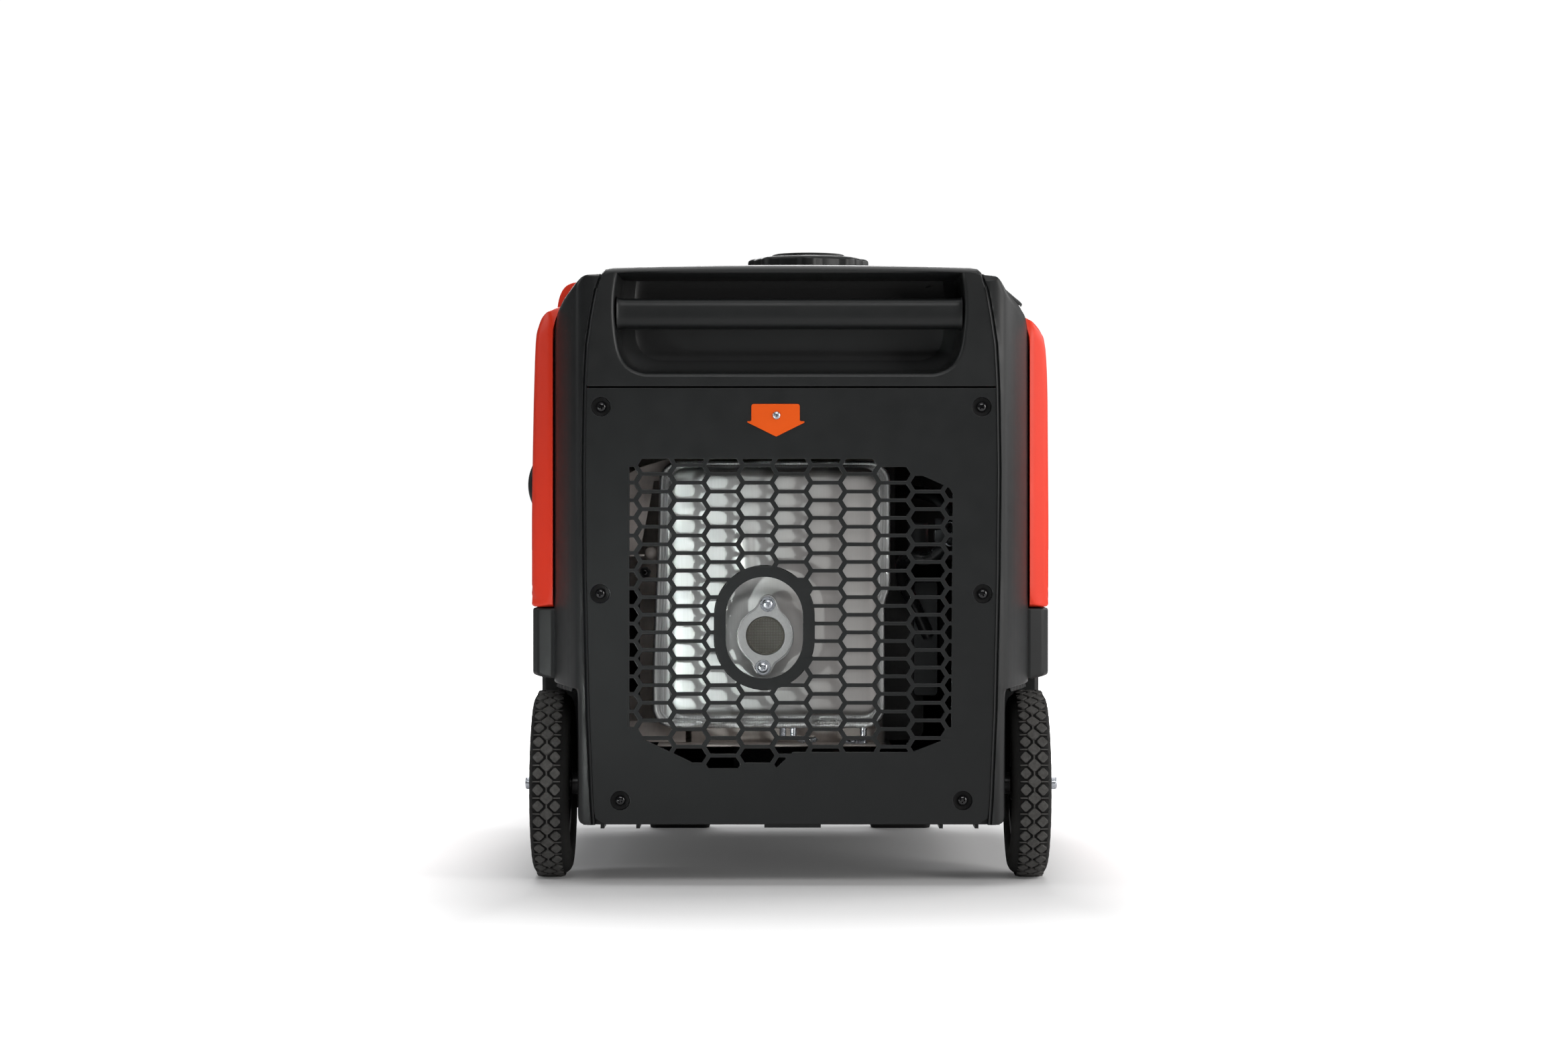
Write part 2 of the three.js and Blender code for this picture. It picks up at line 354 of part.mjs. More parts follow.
// ---------------------------------------------------------------- control end
const PY = 283.4, PY1 = 286.4;                  // control panel plate
const KNOB = [-112, 340], ROCKER = [-112, 270], START = [-112, 205];
const METER = [-20, 345], DUPLEX = [-32, 215], ROUND = [70, 215], BREAKER = [52, 345];
{
  let p = box(-148.4, 148.4, PY, PY1, 110.8, 397.2);
  p = cut(p, cylY(8, KNOB[0], KNOB[1], 270, 300, 14));
  p = cut(p, box(ROCKER[0] - 11, ROCKER[0] + 11, 270, 300, ROCKER[1] - 16, ROCKER[1] + 16));
  p = cut(p, cylY(11, START[0], START[1], 270, 300, 16));
  p = cut(p, cylY(6.5, BREAKER[0], BREAKER[1], 270, 300, 12));
  // sockets: the round outlet's three slots and its collar
  p = join(p, cylY(27, ROUND[0], ROUND[1], PY - 22, PY1 - 0.0, 18));
  for (const a of [90, 210, 330]) {
    const cx = ROUND[0] + 13 * Math.cos(a * Math.PI / 180), cz = ROUND[1] + 13 * Math.sin(a * Math.PI / 180);
    p = cut(p, box(cx - 1.3, cx + 1.3, PY1 - 14, PY1 + 2, cz - 4.4, cz + 4.4));
  }
  p = cut(p, box(METER[0] - 34.4, METER[0] + 34.4, PY1 - 1.5, 300, METER[1] - 20.4, METER[1] + 20.4));
  p = cut(p, box(DUPLEX[0] - 24.4, DUPLEX[0] + 24.4, 270, 300, DUPLEX[1] - 48.4, DUPLEX[1] + 48.4));
  // hinge ears of the outlet cover
  for (const s of [-1, 1]) {
    p = join(p, box(ROUND[0] + s * 20 - 2, ROUND[0] + s * 20 + 2, PY1 - 1, PY1 + 7, ROUND[1] + 33, ROUND[1] + 41));
    p = cut(p, cylX(1.9, PY1 + 3.6, ROUND[1] + 37, ROUND[0] + s * 20 - 4, ROUND[0] + s * 20 + 4, 8));
  }
  put('control_panel', p, GREY());
}
put('engine_switch_knob', join(
  lathe([[0, 270], [7.4, 270], [7.4, PY1 + 0.5], [23, PY1 + 0.5], [22, PY1 + 7], [0, PY1 + 7]], 20, 'y', [KNOB[0], 0, KNOB[1]]),
  secXZ(roundCorners(rectPts(KNOB[0] - 5, KNOB[0] + 5, KNOB[1] - 19, KNOB[1] + 21), 4, 3), PY1 + 5, PY1 + 16)), BLACK());
put('eco_rocker', cut(secYZ([[PY1 - 11, ROCKER[1] - 9], [PY1 + 1.6, ROCKER[1] - 14.2], [PY1 + 1.8, ROCKER[1]], [PY1 + 4.6, ROCKER[1] + 14], [PY1 - 11, ROCKER[1] + 9]], ROCKER[0] - 10, ROCKER[0] + 10),
  cylX(0.8, PY1 - 4, ROCKER[1], ROCKER[0] - 10.5, ROCKER[0] - 7, 8)), BLACK());
put('start_button', lathe([[0, PY1 - 12], [10.4, PY1 - 12], [10.4, PY1 + 4], [8.8, PY1 + 5.5], [0, PY1 + 5.5]], 16, 'y', [START[0], 0, START[1]]), GREY());
put('breaker_button', lathe([[0, PY1 - 12], [6, PY1 - 12], [6, PY1 + 4.5], [5, PY1 + 6], [0, PY1 + 6]], 12, 'y', [BREAKER[0], 0, BREAKER[1]]), GREY());
put('meter_display', join(box(METER[0] - 34, METER[0] + 34, PY1 - 1.1, PY1 + 1.4, METER[1] - 20, METER[1] + 20)), mat(0x1a2022, 0.2));
{
  let d = secXZ(roundCorners(rectPts(DUPLEX[0] - 24, DUPLEX[0] + 24, DUPLEX[1] - 48, DUPLEX[1] + 48), 6, 3), PY1 - 24, PY1 + 3);
  for (const s of [-1, 1]) {
    const cz = DUPLEX[1] + s * 22;
    d = cut(d, box(DUPLEX[0] - 8.4, DUPLEX[0] - 6, PY1 - 12, PY1 + 9, cz - 1, cz + 7.4), box(DUPLEX[0] + 6, DUPLEX[0] + 8.4, PY1 - 12, PY1 + 9, cz - 0.2, cz + 6.6), cylY(1.9, DUPLEX[0], cz - 8, PY1 - 12, PY1 + 9, 8));
  }
  put('duplex_outlet', d, BLACK());
}
put('outlet_cover', join(
  lathe([[0, PY1 + 5.4], [29, PY1 + 5.4], [29, PY1 + 0.6], [31.5, PY1 + 0.6], [31.5, PY1 + 6.4], [29.5, PY1 + 8.4], [0, PY1 + 8.4]], 20, 'y', [ROUND[0], 0, ROUND[1]]),
  box(ROUND[0] - 17.4, ROUND[0] + 17.4, PY1 + 1.4, PY1 + 6, ROUND[1] + 29, ROUND[1] + 39),
  cylX(1.5, PY1 + 3.6, ROUND[1] + 37, ROUND[0] - 21.6, ROUND[0] + 21.6, 8)), BLACK());

// tow handle: a tube bent into a U, with pivot pins at its feet
{
  const r = HANDLE_R, cr = 22, top = HANDLE_TOP_Z;
  const ball = (x, z) => solid(new THREE.SphereGeometry(r, 8, 6).rotateX(Math.PI / 2).translate(x, HANDLE_Y, z));
  const parts = [];
  for (const s of [-1, 1]) {
    parts.push(cylZ(r, s * HANDLE_X, HANDLE_Y, HANDLE_PIVOT_Z - 1, top - cr, 8));
    parts.push(ball(s * HANDLE_X, top - cr), ball(s * (HANDLE_X - cr), top));
    const a = new THREE.Vector3(s * HANDLE_X, HANDLE_Y, top - cr), b = new THREE.Vector3(s * (HANDLE_X - cr), HANDLE_Y, top);
    const g = new THREE.CylinderGeometry(r, r, a.distanceTo(b), 8);
    g.applyQuaternion(new THREE.Quaternion().setFromUnitVectors(Y, b.clone().sub(a).normalize()));
    g.translate((a.x + b.x) / 2, a.y, (a.z + b.z) / 2);
    parts.push(solid(g));
    parts.push(cylX(r, HANDLE_Y, HANDLE_PIVOT_Z, s * HANDLE_X - 7, s * HANDLE_X + 7, 8));
    parts.push(cylX(3, HANDLE_Y, HANDLE_PIVOT_Z, s * HANDLE_X - 11.6, s * HANDLE_X + 11.6, 8));
  }
  parts.push(cylX(r, HANDLE_Y, top, -(HANDLE_X - cr), HANDLE_X - cr, 8));
  put('tow_handle', join(...parts), BLACK());
}

// ---------------------------------------------------------------- running gear
const shaftProfile = [[0, -219], [4, -219], [4, -213.6], [AXLE_R, -213.6], [AXLE_R, -183.3], [9, -183.3], [9, -174.5], [AXLE_R, -174.5], [AXLE_R, 174.5], [9, 174.5], [9, 183.3], [AXLE_R, 183.3], [AXLE_R, 213.6], [4, 213.6], [4, 219], [0, 219]];
put('axle', lathe(shaftProfile, 12, 'x', [0, AXLE_Y, AXLE_Z]), STEEL());
for (const s of [-1, 1]) {
  const side = s < 0 ? 'left' : 'right', w = TYRE_W / 2, at = [s * WHEEL_X, AXLE_Y, AXLE_Z];
  put(`${side}_tyre`, lathe([[50.2, -w], [69, -w], [75.6, -w + 4.6], [78, -w + 11], [78, w - 11], [75.6, w - 4.6], [69, w], [50.2, w]], 40, 'x', at), RUBBER());
  put(`${side}_wheel_hub`, lathe([[5.5, -w], [14, -w], [15, -4], [41, -3], [42.5, -w + 1.5], [49.7, -w + 1.5], [49.7, w - 1.5], [42.5, w - 1.5], [41, 3], [15, 4], [14, w], [5.5, w]], 24, 'x', at), BLACK());
  const nut = s > 0
    ? [[0, 222.3], [3.9, 222.3], [5.15, 221.2], [5.15, 214], [4.3, 214], [4.3, 219.4], [0, 219.4]]
    : [[0, -222.3], [3.9, -222.3], [5.15, -221.2], [5.15, -214], [4.3, -214], [4.3, -219.4], [0, -219.4]];
  put(`${side}_axle_nut`, lathe(nut, 12, 'x', [0, AXLE_Y, AXLE_Z]), STEEL());
}

// ---------------------------------------------------------------- exhaust
const OUT_Y = -296;                              // outer face of the outlet flange
const ears = EAR_TILT * Math.PI / 180;
const EARS = [[OUTLET_X + EAR * Math.sin(ears), OUTLET_Z + EAR * Math.cos(ears)], [OUTLET_X - EAR * Math.sin(ears), OUTLET_Z - EAR * Math.cos(ears)]];
{
  const main = roundCorners(rectPts(-112, 80.7, 128, 340), 20, 3);
  let m = secXZ(main, -276, -190);
  m = join(m, secXZ(roundCorners(rectPts(-109, 77.7, 131, 337), 18, 3), -279, -270));
  m = join(m, secXZ(roundCorners(rectPts(-117, 85.7, 123, 345), 24, 3), -236, -232));
  m = join(m, cylY(20, OUTLET_X, OUTLET_Z, -291.4, -270, 18));
  m = join(m, cylY(13, -10, 325, -195, CRANK_Y - 51, 14));
  m = cut(m, cylY(14.8, OUTLET_X, OUTLET_Z, -300, -262, 16));
  for (const [x, z] of EARS) {
    m = join(m, cylY(6.5, x, z, -291.4, -270, 8));
    m = cut(m, cylY(2.9, x, z, -300, -274, 8));
  }
  put('muffler_shell', m, STEEL());
}
{
  const [a, b] = EARS;
  let f = cylY(FLANGE_R, OUTLET_X, OUTLET_Z, OUT_Y, OUT_Y + 4.2, 24);
  for (const e of EARS) f = join(f, cylY(EAR_R, e[0], e[1], OUT_Y, OUT_Y + 4.2, 12));
  const d = [(a[0] - b[0]) / (2 * EAR), (a[1] - b[1]) / (2 * EAR)], n = [d[1], -d[0]];
  const p = (u, v) => [OUTLET_X + d[0] * u + n[0] * v, OUTLET_Z + d[1] * u + n[1] * v];
  f = join(f, secXZ([p(EAR, EAR_R), p(0, 19), p(-EAR, EAR_R), p(-EAR, -EAR_R), p(0, -19), p(EAR, -EAR_R)], OUT_Y, OUT_Y + 4.2));
  f = cut(f, cylY(BORE_R, OUTLET_X, OUTLET_Z, -310, -280, 20), cylY(3.1, a[0], a[1], -310, -280, 8), cylY(3.1, b[0], b[1], -310, -280, 8));
  put('exhaust_flange', f, ALUMINIUM());
}
put('spark_arrestor_screen', lathe([[0, -1.6], [14.2, 1.2], [14.2, 2.4], [0, -0.4]], 16, 'y', [OUTLET_X, OUT_Y + 2.2, OUTLET_Z]), SHEET());
EARS.forEach(([x, z], i) => put(`flange_screw_${i ? 'lower' : 'upper'}`, lathe([[0, -12], [2.3, -12], [2.3, 0], [4.55, 0], [4.55, 1.7], [3.2, 2.9], [0, 3.1]], 10, '-y', [x, OUT_Y - 0.3, z]), STEEL()));
put('heat_shield', cut(join(
  secXZ(roundCorners([[-150, 112], [112, 112], [112, 240], [88, 262], [88, 352], [-135, 352], [-150, 335]], 8, 2), -184, -182),
  box(-110, 82, -272, -182, 112, 113.6),
  box(-138, -121, -262, -182, 268, 269.6)),
  cylY(16, -10, 325, -200, -170, 14), box(-151, -128, -200, -170, 150, 240)), SHEET());

// ---------------------------------------------------------------- engine
{
  const cy = CRANK_Y, cz = CRANK_Z;
  let m = secYZ(roundCorners([[cy - 60, cz - 70], [cy + 70, cz - 74], [cy + 82, cz - 10], [cy + 60, cz + 62], [cy - 56, cz + 62], [cy - 74, cz + 10]], 14, 2), -55, 75);
  m = join(m, cylX(27, cy, cz, -92, -50, 16));
  m = join(m, cylZ(36, 10, cy, cz + 55, 352, 14));
  for (let k = 0; k < 5; k++) m = join(m, box(-42, 62, cy - 50, cy + 50, 264 + k * 16, 268 + k * 16));
  m = join(m, box(-46, 66, cy - 54, cy + 54, 345, 354));
  m = join(m, box(-50, 70, cy - 60, cy - 40, 68.6, cz - 60), box(-50, 70, cy + 50, cy + 68, 68.6, cz - 60));
  m = cut(m, cylX(12.9, cy, cz, -100, 80, 14));
  m = join(m, secYZ(roundCorners([[cy - 48, 352], [cy + 48, 352], [cy + 48, 372], [cy + 30, 380], [cy - 30, 380], [cy - 48, 372]], 4, 2), -40, 60));
  put('engine_block', m, CAST());
  put('spark_plug', lathe([[0, 60.5], [7, 60.5], [7, 66], [10, 66], [10, 74], [5.5, 75], [5.5, 92], [3.2, 93], [3.2, 99], [0, 99]], 14, 'x', [0, cy, 367]), mat(0xd9d9d4, 0.3));
  put('crankshaft', lathe([[0, -170], [7, -170], [7, -151], [12.3, -150], [12.3, 84], [9, 85], [9, 96], [0, 96]], 14, 'x', [0, cy, cz]), STEEL());
  // outer rotor with fan blades
  let r = lathe([[12.9, -148], [86, -148], [86, -96], [78, -96], [78, -140], [20, -140], [20, -135], [12.9, -135]], 24, 'x', [0, cy, cz]);
  for (let k = 0; k < 8; k++) {
    const g = new THREE.BoxGeometry(9, 34, 3).translate(-151.5, 62, 0).rotateX(2 * Math.PI * k / 8).translate(0, cy, cz);
    r = join(r, solid(g));
  }
  put('alternator_rotor', r, CAST());
  put('alternator_stator', lathe([[27.5, -132], [75, -132], [75, -96], [27.5, -96]], 20, 'x', [0, cy, cz]), mat(0x8a4a26, 0.5, 0.6));
  // shroud and starter cover in one moulding
  let h = lathe([[0, -193], [94, -193], [98, -189], [98, -94], [95, -94], [95, -190], [9, -190], [9, -176], [0, -176]], 28, 'x', [0, cy, cz]);
  for (let k = 0; k < 8; k++) {
    const g = new THREE.BoxGeometry(10, 22, 6).translate(-191.5, 80, 0).rotateX(2 * Math.PI * (k + 0.5) / 8).translate(0, cy, cz);
    h = cut(h, solid(g));
  }
  h = cut(h, box(-189.5, -178, cy - 120, cy - 60, cz + 40, cz + 76));
  put('recoil_housing', h, BLACK());
  put('recoil_pulley', lathe([[9.8, -188.6], [62, -188.6], [55, -185.8], [55, -179.8], [62, -177], [9.8, -177]], 24, 'x', [0, cy, cz]), GREY());
  put('carburettor', join(box(-2, 34, 60, 92, 292, 338), cylY(15, 16, 312, cy + 51, 64, 12), cylZ(11, 16, 76, 276, 300, 10), cylY(17, 16, 312, 85, 106, 12)), ALUMINIUM());
  put('air_cleaner', join(secXZ(roundCorners(rectPts(76, 186, 262, 372), 12, 3), 40, 178), box(-6, 80, 106.5, 134, 290, 334)), BLACK());
}
{
  // recoil grip: an arched bar with a short neck for the rope
  const arc = [[-207, GRIP_Z - 29], [-212, GRIP_Z - 28], [-219, GRIP_Z - 21], [-224, GRIP_Z - 9], [-225.2, GRIP_Z], [-224, GRIP_Z + 9], [-219, GRIP_Z + 21], [-212, GRIP_Z + 28], [-207, GRIP_Z + 29], [-206, GRIP_Z + 24], [-209.5, GRIP_Z + 12], [-210, GRIP_Z], [-209.5, GRIP_Z - 12], [-206, GRIP_Z - 24]];
  put('recoil_grip', join(secXZ(arc, GRIP_Y - 12, GRIP_Y + 12), cylX(4.6, GRIP_Y, GRIP_Z, -214, -196, 12)), GREY());
}

// ---------------------------------------------------------------- fuel
{
  const outer = secXZ(roundCorners(rectPts(-138, 138, 394, 488), 16, 3), -222, 175);
  const inner = secXZ(roundCorners(rectPts(-136, 136, 396, 486), 14, 3), -220, 173);
  let t = join(outer, cylZ(29, CAP_X, CAP_Y, 480, 511, 20));
  t = cut(t, inner, cylZ(26, CAP_X, CAP_Y, 480, 520, 20));
  put('fuel_tank', t, BLACK());
  let c = lathe([[0, 512], [29.8, 512], [29.8, 509.4], [48.5, 509.4], [48.5, 523], [46, 524.7], [0, 524.7]], 28, 'z', [CAP_X, CAP_Y, 0]);
  c = join(c, cylZ(24.5, CAP_X, CAP_Y, 500, 514, 14));
  for (let k = 0; k < 8; k++) {
    const g = new THREE.BoxGeometry(6, 13, 12.5).translate(46.8, 0, 516.2).rotateZ(2 * Math.PI * k / 8).translate(CAP_X, CAP_Y, 0);
    c = join(c, solid(g));
  }
  put('fuel_cap', c, BLACK());
  put('cap_vent_dial', cut(cylZ(31.5, CAP_X, CAP_Y, 525, 528, 28, 29), box(CAP_X - 2, CAP_X + 2, CAP_Y + 16, CAP_Y + 27, 526.6, 530)), BLACK());
}
// breather hose from the head to the air cleaner, looped on the right behind the grille
{
  const pts = [[62, -120, 300], [76, -150, 314], [96, -176, 322], [118, -214, 312], [136, -232, 288], [134, -226, 262], [118, -214, 256], [112, -204, 232], [116, -200, 200]].map(p => new THREE.Vector3(...p));
  const curve = new THREE.CatmullRomCurve3(pts);
  const sec = new THREE.Shape(circlePts(0, 0, 5.5, 6).map(([x, y]) => new THREE.Vector2(x, y)));
  put('breather_hose', solid(new THREE.ExtrudeGeometry(sec, { steps: 22, extrudePath: curve, bevelEnabled: false })), RUBBER());
}

// ---------------------------------------------------------------- electrics
{
  let m = box(-168, 20, 186, 262, 72, 150);
  for (let k = 0; k < 12; k++) m = cut(m, box(-170, 22, 190, 258, 150 - 18, 160).intersect(box(-166 + k * 15.4, -166 + k * 15.4 + 9, 180, 270, 130, 170)));
  put('inverter_module', m, ALUMINIUM());
  put('starter_battery', join(box(48, 160, 190, 258, 72, 160), cylZ(6, 64, 224, 158, 168, 12), cylZ(6, 144, 224, 158, 168, 12)), GREY());
}

export default generator;
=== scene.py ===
"""Portable inverter generator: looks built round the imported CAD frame. Lengths in this file are millimetres until mesh()."""
import bpy, bmesh, json, math
import numpy as np
from mathutils import Vector, Matrix
from mathutils.geometry import tessellate_polygon

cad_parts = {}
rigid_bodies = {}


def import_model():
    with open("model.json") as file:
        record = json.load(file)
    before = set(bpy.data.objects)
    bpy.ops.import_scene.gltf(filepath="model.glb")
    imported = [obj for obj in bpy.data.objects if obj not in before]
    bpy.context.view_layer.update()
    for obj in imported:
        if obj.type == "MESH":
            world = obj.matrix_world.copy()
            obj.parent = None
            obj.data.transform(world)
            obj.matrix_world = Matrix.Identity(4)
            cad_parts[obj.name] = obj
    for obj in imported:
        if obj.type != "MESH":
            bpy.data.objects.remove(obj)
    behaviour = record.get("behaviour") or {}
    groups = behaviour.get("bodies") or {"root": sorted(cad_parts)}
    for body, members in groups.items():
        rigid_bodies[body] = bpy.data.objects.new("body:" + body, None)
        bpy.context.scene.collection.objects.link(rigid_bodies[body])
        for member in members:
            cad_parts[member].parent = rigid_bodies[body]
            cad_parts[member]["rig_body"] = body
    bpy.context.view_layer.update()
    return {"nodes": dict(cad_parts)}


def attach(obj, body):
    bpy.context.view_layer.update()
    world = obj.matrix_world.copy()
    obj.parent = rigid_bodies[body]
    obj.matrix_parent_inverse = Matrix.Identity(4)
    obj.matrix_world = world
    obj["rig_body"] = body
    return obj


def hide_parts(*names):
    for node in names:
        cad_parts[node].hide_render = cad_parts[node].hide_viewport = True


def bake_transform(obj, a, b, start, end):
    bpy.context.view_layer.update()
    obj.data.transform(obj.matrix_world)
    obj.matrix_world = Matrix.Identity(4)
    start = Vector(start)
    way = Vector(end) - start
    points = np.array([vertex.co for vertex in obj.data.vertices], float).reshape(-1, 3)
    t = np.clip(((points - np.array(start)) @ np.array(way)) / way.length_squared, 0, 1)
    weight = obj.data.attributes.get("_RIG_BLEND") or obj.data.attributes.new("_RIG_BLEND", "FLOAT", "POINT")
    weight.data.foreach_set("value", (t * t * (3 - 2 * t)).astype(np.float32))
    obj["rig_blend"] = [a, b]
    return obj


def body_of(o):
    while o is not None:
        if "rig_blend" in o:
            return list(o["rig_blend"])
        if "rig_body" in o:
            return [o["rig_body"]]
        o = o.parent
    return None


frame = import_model()
NODES = frame["nodes"]
MM = 0.001
H = "housing"

# ------------------------------------------------------------------ camera
cam_data = bpy.data.cameras.new("camera")
cam = bpy.data.objects.new("camera", cam_data)
bpy.context.scene.collection.objects.link(cam)
cam_data.sensor_width = 36.0
cam_data.lens = 80.78
cam_data.clip_end = 50
cam.location = (-0.006, -0.305 - 2.854, 0.293)
cam.rotation_euler = (math.radians(90), 0, 0)
bpy.context.scene.camera = cam

# ------------------------------------------------------------------ node helpers
class NT:
    """A small writer for node materials."""
    def __init__(self, name):
        self.m = bpy.data.materials.new(name)
        self.m.use_nodes = True
        self.t = self.m.node_tree
        self.t.nodes.clear()
        self.out = self.n("ShaderNodeOutputMaterial")
        self.b = self.n("ShaderNodeBsdfPrincipled")
        self.l(self.b.outputs[0], self.out.inputs[0])
        self.tc = self.n("ShaderNodeTexCoord")
    def n(self, kind, **k):
        x = self.t.nodes.new(kind)
        for a, b in k.items():
            setattr(x, a, b)
        return x
    def l(self, a, b):
        self.t.links.new(a, b)
    def set(self, **k):
        for a, v in k.items():
            self.b.inputs[a.replace("_", " ")].default_value = v
    def mapped(self, scale=(1, 1, 1), rot=(0, 0, 0), coord="Object"):
        mp = self.n("ShaderNodeMapping")
        mp.inputs["Scale"].default_value = scale
        mp.inputs["Rotation"].default_value = rot
        self.l(self.tc.outputs[coord], mp.inputs[0])
        return mp.outputs[0]
    def noise(self, scale, detail=2.0, rough=0.5, vec=None, dist=0.0):
        x = self.n("ShaderNodeTexNoise")
        x.inputs["Scale"].default_value = scale
        x.inputs["Detail"].default_value = detail
        x.inputs["Roughness"].default_value = rough
        x.inputs["Distortion"].default_value = dist
        self.l(vec if vec is not None else self.tc.outputs["Object"], x.inputs["Vector"])
        return x.outputs["Fac"]
    def ramp(self, src, stops, interp="LINEAR"):
        r = self.n("ShaderNodeValToRGB")
        r.color_ramp.interpolation = interp
        e = r.color_ramp.elements
        while len(e) < len(stops):
            e.new(0.5)
        for el, (p, c) in zip(e, stops):
            el.position = p
            el.color = (c, c, c, 1) if not hasattr(c, "__len__") else (*c[:3], 1)
        self.l(src, r.inputs[0])
        return r.outputs[0]
    def rng(self, src, a, b, lo=0.0, hi=1.0):
        r = self.n("ShaderNodeMapRange")
        r.inputs["From Min"].default_value = lo
        r.inputs["From Max"].default_value = hi
        r.inputs["To Min"].default_value = a
        r.inputs["To Max"].default_value = b
        self.l(src, r.inputs["Value"])
        return r.outputs[0]
    def mix(self, fac, a, b, blend="MIX"):
        x = self.n("ShaderNodeMix", data_type="RGBA", blend_type=blend)
        for sock, v in ((x.inputs[0], fac), (x.inputs[6], a), (x.inputs[7], b)):
            if isinstance(v, (int, float)):
                sock.default_value = v
            elif isinstance(v, tuple):
                sock.default_value = (*v[:3], 1)
            else:
                self.l(v, sock)
        return x.outputs[2]
    def math(self, op, a, b=None):
        x = self.n("ShaderNodeMath", operation=op)
        for i, v in enumerate((a, b)):
            if v is None:
                continue
            if isinstance(v, (int, float)):
                x.inputs[i].default_value = v
            else:
                self.l(v, x.inputs[i])
        return x.outputs[0]
    def bump(self, src, strength, dist, normal=None):
        x = self.n("ShaderNodeBump")
        x.inputs["Strength"].default_value = strength
        x.inputs["Distance"].default_value = dist
        self.l(src, x.inputs["Height"])
        if normal is not None:
            self.l(normal, x.inputs["Normal"])
        return x.outputs[0]
    def edge(self, lo=0.52, hi=0.62):
        g = self.n("ShaderNodeNewGeometry")
        return self.ramp(g.outputs["Pointiness"], [(lo, 0.0), (hi, 1.0)])

def plastic(name, base, rough=0.46, spec=0.4, grain=900.0, depth=0.00006, vary=0.12, edge=0.25, edge_col=None, dust=0.0):
    k = NT(name)
    big = k.noise(7.0, 3.0)
    mid = k.noise(55.0, 3.0, 0.6)
    fine = k.noise(grain, 2.0, 0.6)
    lo = tuple(c * (1 - vary) for c in base)
    hi = tuple(c * (1 + vary) for c in base)
    col = k.mix(k.ramp(big, [(0.3, 0.0), (0.7, 1.0)]), lo, hi)
    ec = edge_col or tuple(min(1, c * 1.8 + 0.01) for c in base)
    col = k.mix(k.math("MULTIPLY", k.edge(), edge), col, ec)
    if dust:
        g = k.n("ShaderNodeNewGeometry")
        s = k.n("ShaderNodeSeparateXYZ")
        k.l(g.outputs["Normal"], s.inputs[0])
        up = k.ramp(s.outputs[2], [(0.4, 0.0), (1.0, 1.0)])
        col = k.mix(k.math("MULTIPLY", k.math("MULTIPLY", up, mid), dust), col, (0.22, 0.21, 0.19))
    k.l(col, k.b.inputs["Base Color"])
    k.l(k.rng(mid, rough - 0.025, rough + 0.035, 0.3, 0.7), k.b.inputs["Roughness"])
    k.set(Specular_IOR_Level=spec)
    k.l(k.bump(fine, 0.35, depth), k.b.inputs["Normal"])
    return k.m

def metal(name, base, rough=0.3, brush=None, brush_amt=0.06, vary=0.1, bump=0.00004, stain=None, spots=0.0, metallic=1.0):
    """brush: scale triple of the streaks."""
    k = NT(name)
    big = k.noise(14.0, 4.0, 0.6)
    mid = k.noise(160.0, 3.0, 0.6)
    v = k.mapped(brush) if brush else None
    st = k.noise(1.0, 3.0, 0.7, v) if brush else k.noise(900.0, 2.0)
    lo = tuple(c * (1 - vary) for c in base)
    hi = tuple(min(1, c * (1 + vary)) for c in base)
    col = k.mix(k.ramp(big, [(0.3, 0.0), (0.7, 1.0)]), lo, hi)
    col = k.mix(k.ramp(st, [(0.35, 0.0), (0.65, 0.35)]), col, tuple(c * 0.8 for c in base))
    if stain:
        col = k.mix(k.ramp(k.noise(9.0, 5.0, 0.65), [(0.45, 0.0), (0.7, 0.8)]), col, stain)
    k.l(col, k.b.inputs["Base Color"])
    k.set(Metallic=metallic)
    r = k.math("ADD", k.rng(st, rough - brush_amt, rough + brush_amt, 0.3, 0.7), k.rng(mid, -0.04, 0.05, 0.3, 0.7))
    k.l(r, k.b.inputs["Roughness"])
    k.l(k.bump(st, 0.4, bump), k.b.inputs["Normal"])
    return k.m

M = {}
M["black"] = plastic("black_plastic_grained", (0.0088, 0.0097, 0.0101), 0.39, 0.40, 1100.0, 0.00005, 0.06, 0.08, (0.05, 0.053, 0.055))
M["black_dark"] = plastic("black_plastic_plain", (0.0085, 0.0092, 0.0094), 0.46, 0.35, 900.0, 0.00004, 0.08, 0.0)
M["red"] = plastic("red_plastic_satin", (0.84, 0.038, 0.011), 0.38, 0.36, 700.0, 0.00003, 0.05, 0.2, (0.85, 0.09, 0.04))
M["grey"] = plastic("grey_plastic", (0.055, 0.06, 0.063), 0.5, 0.4, 900.0, 0.00005, 0.06, 0.0)
# near-black, darker than the black plastic, for the washers in the screw pockets: painted shade
M["pit"] = plastic("black_washer_painted_shade", (0.0035, 0.0035, 0.0036), 0.5, 0.2, 500.0, 0.00003, 0.1, 0.0)
M["gloss"] = plastic("black_gloss_dome", (0.008, 0.008, 0.009), 0.14, 0.6, 300.0, 0.00001, 0.1, 0.1)
M["rubber"] = plastic("black_rubber", (0.014, 0.014, 0.014), 0.72, 0.25, 1500.0, 0.00012, 0.2, 0.2, dust=0.2)
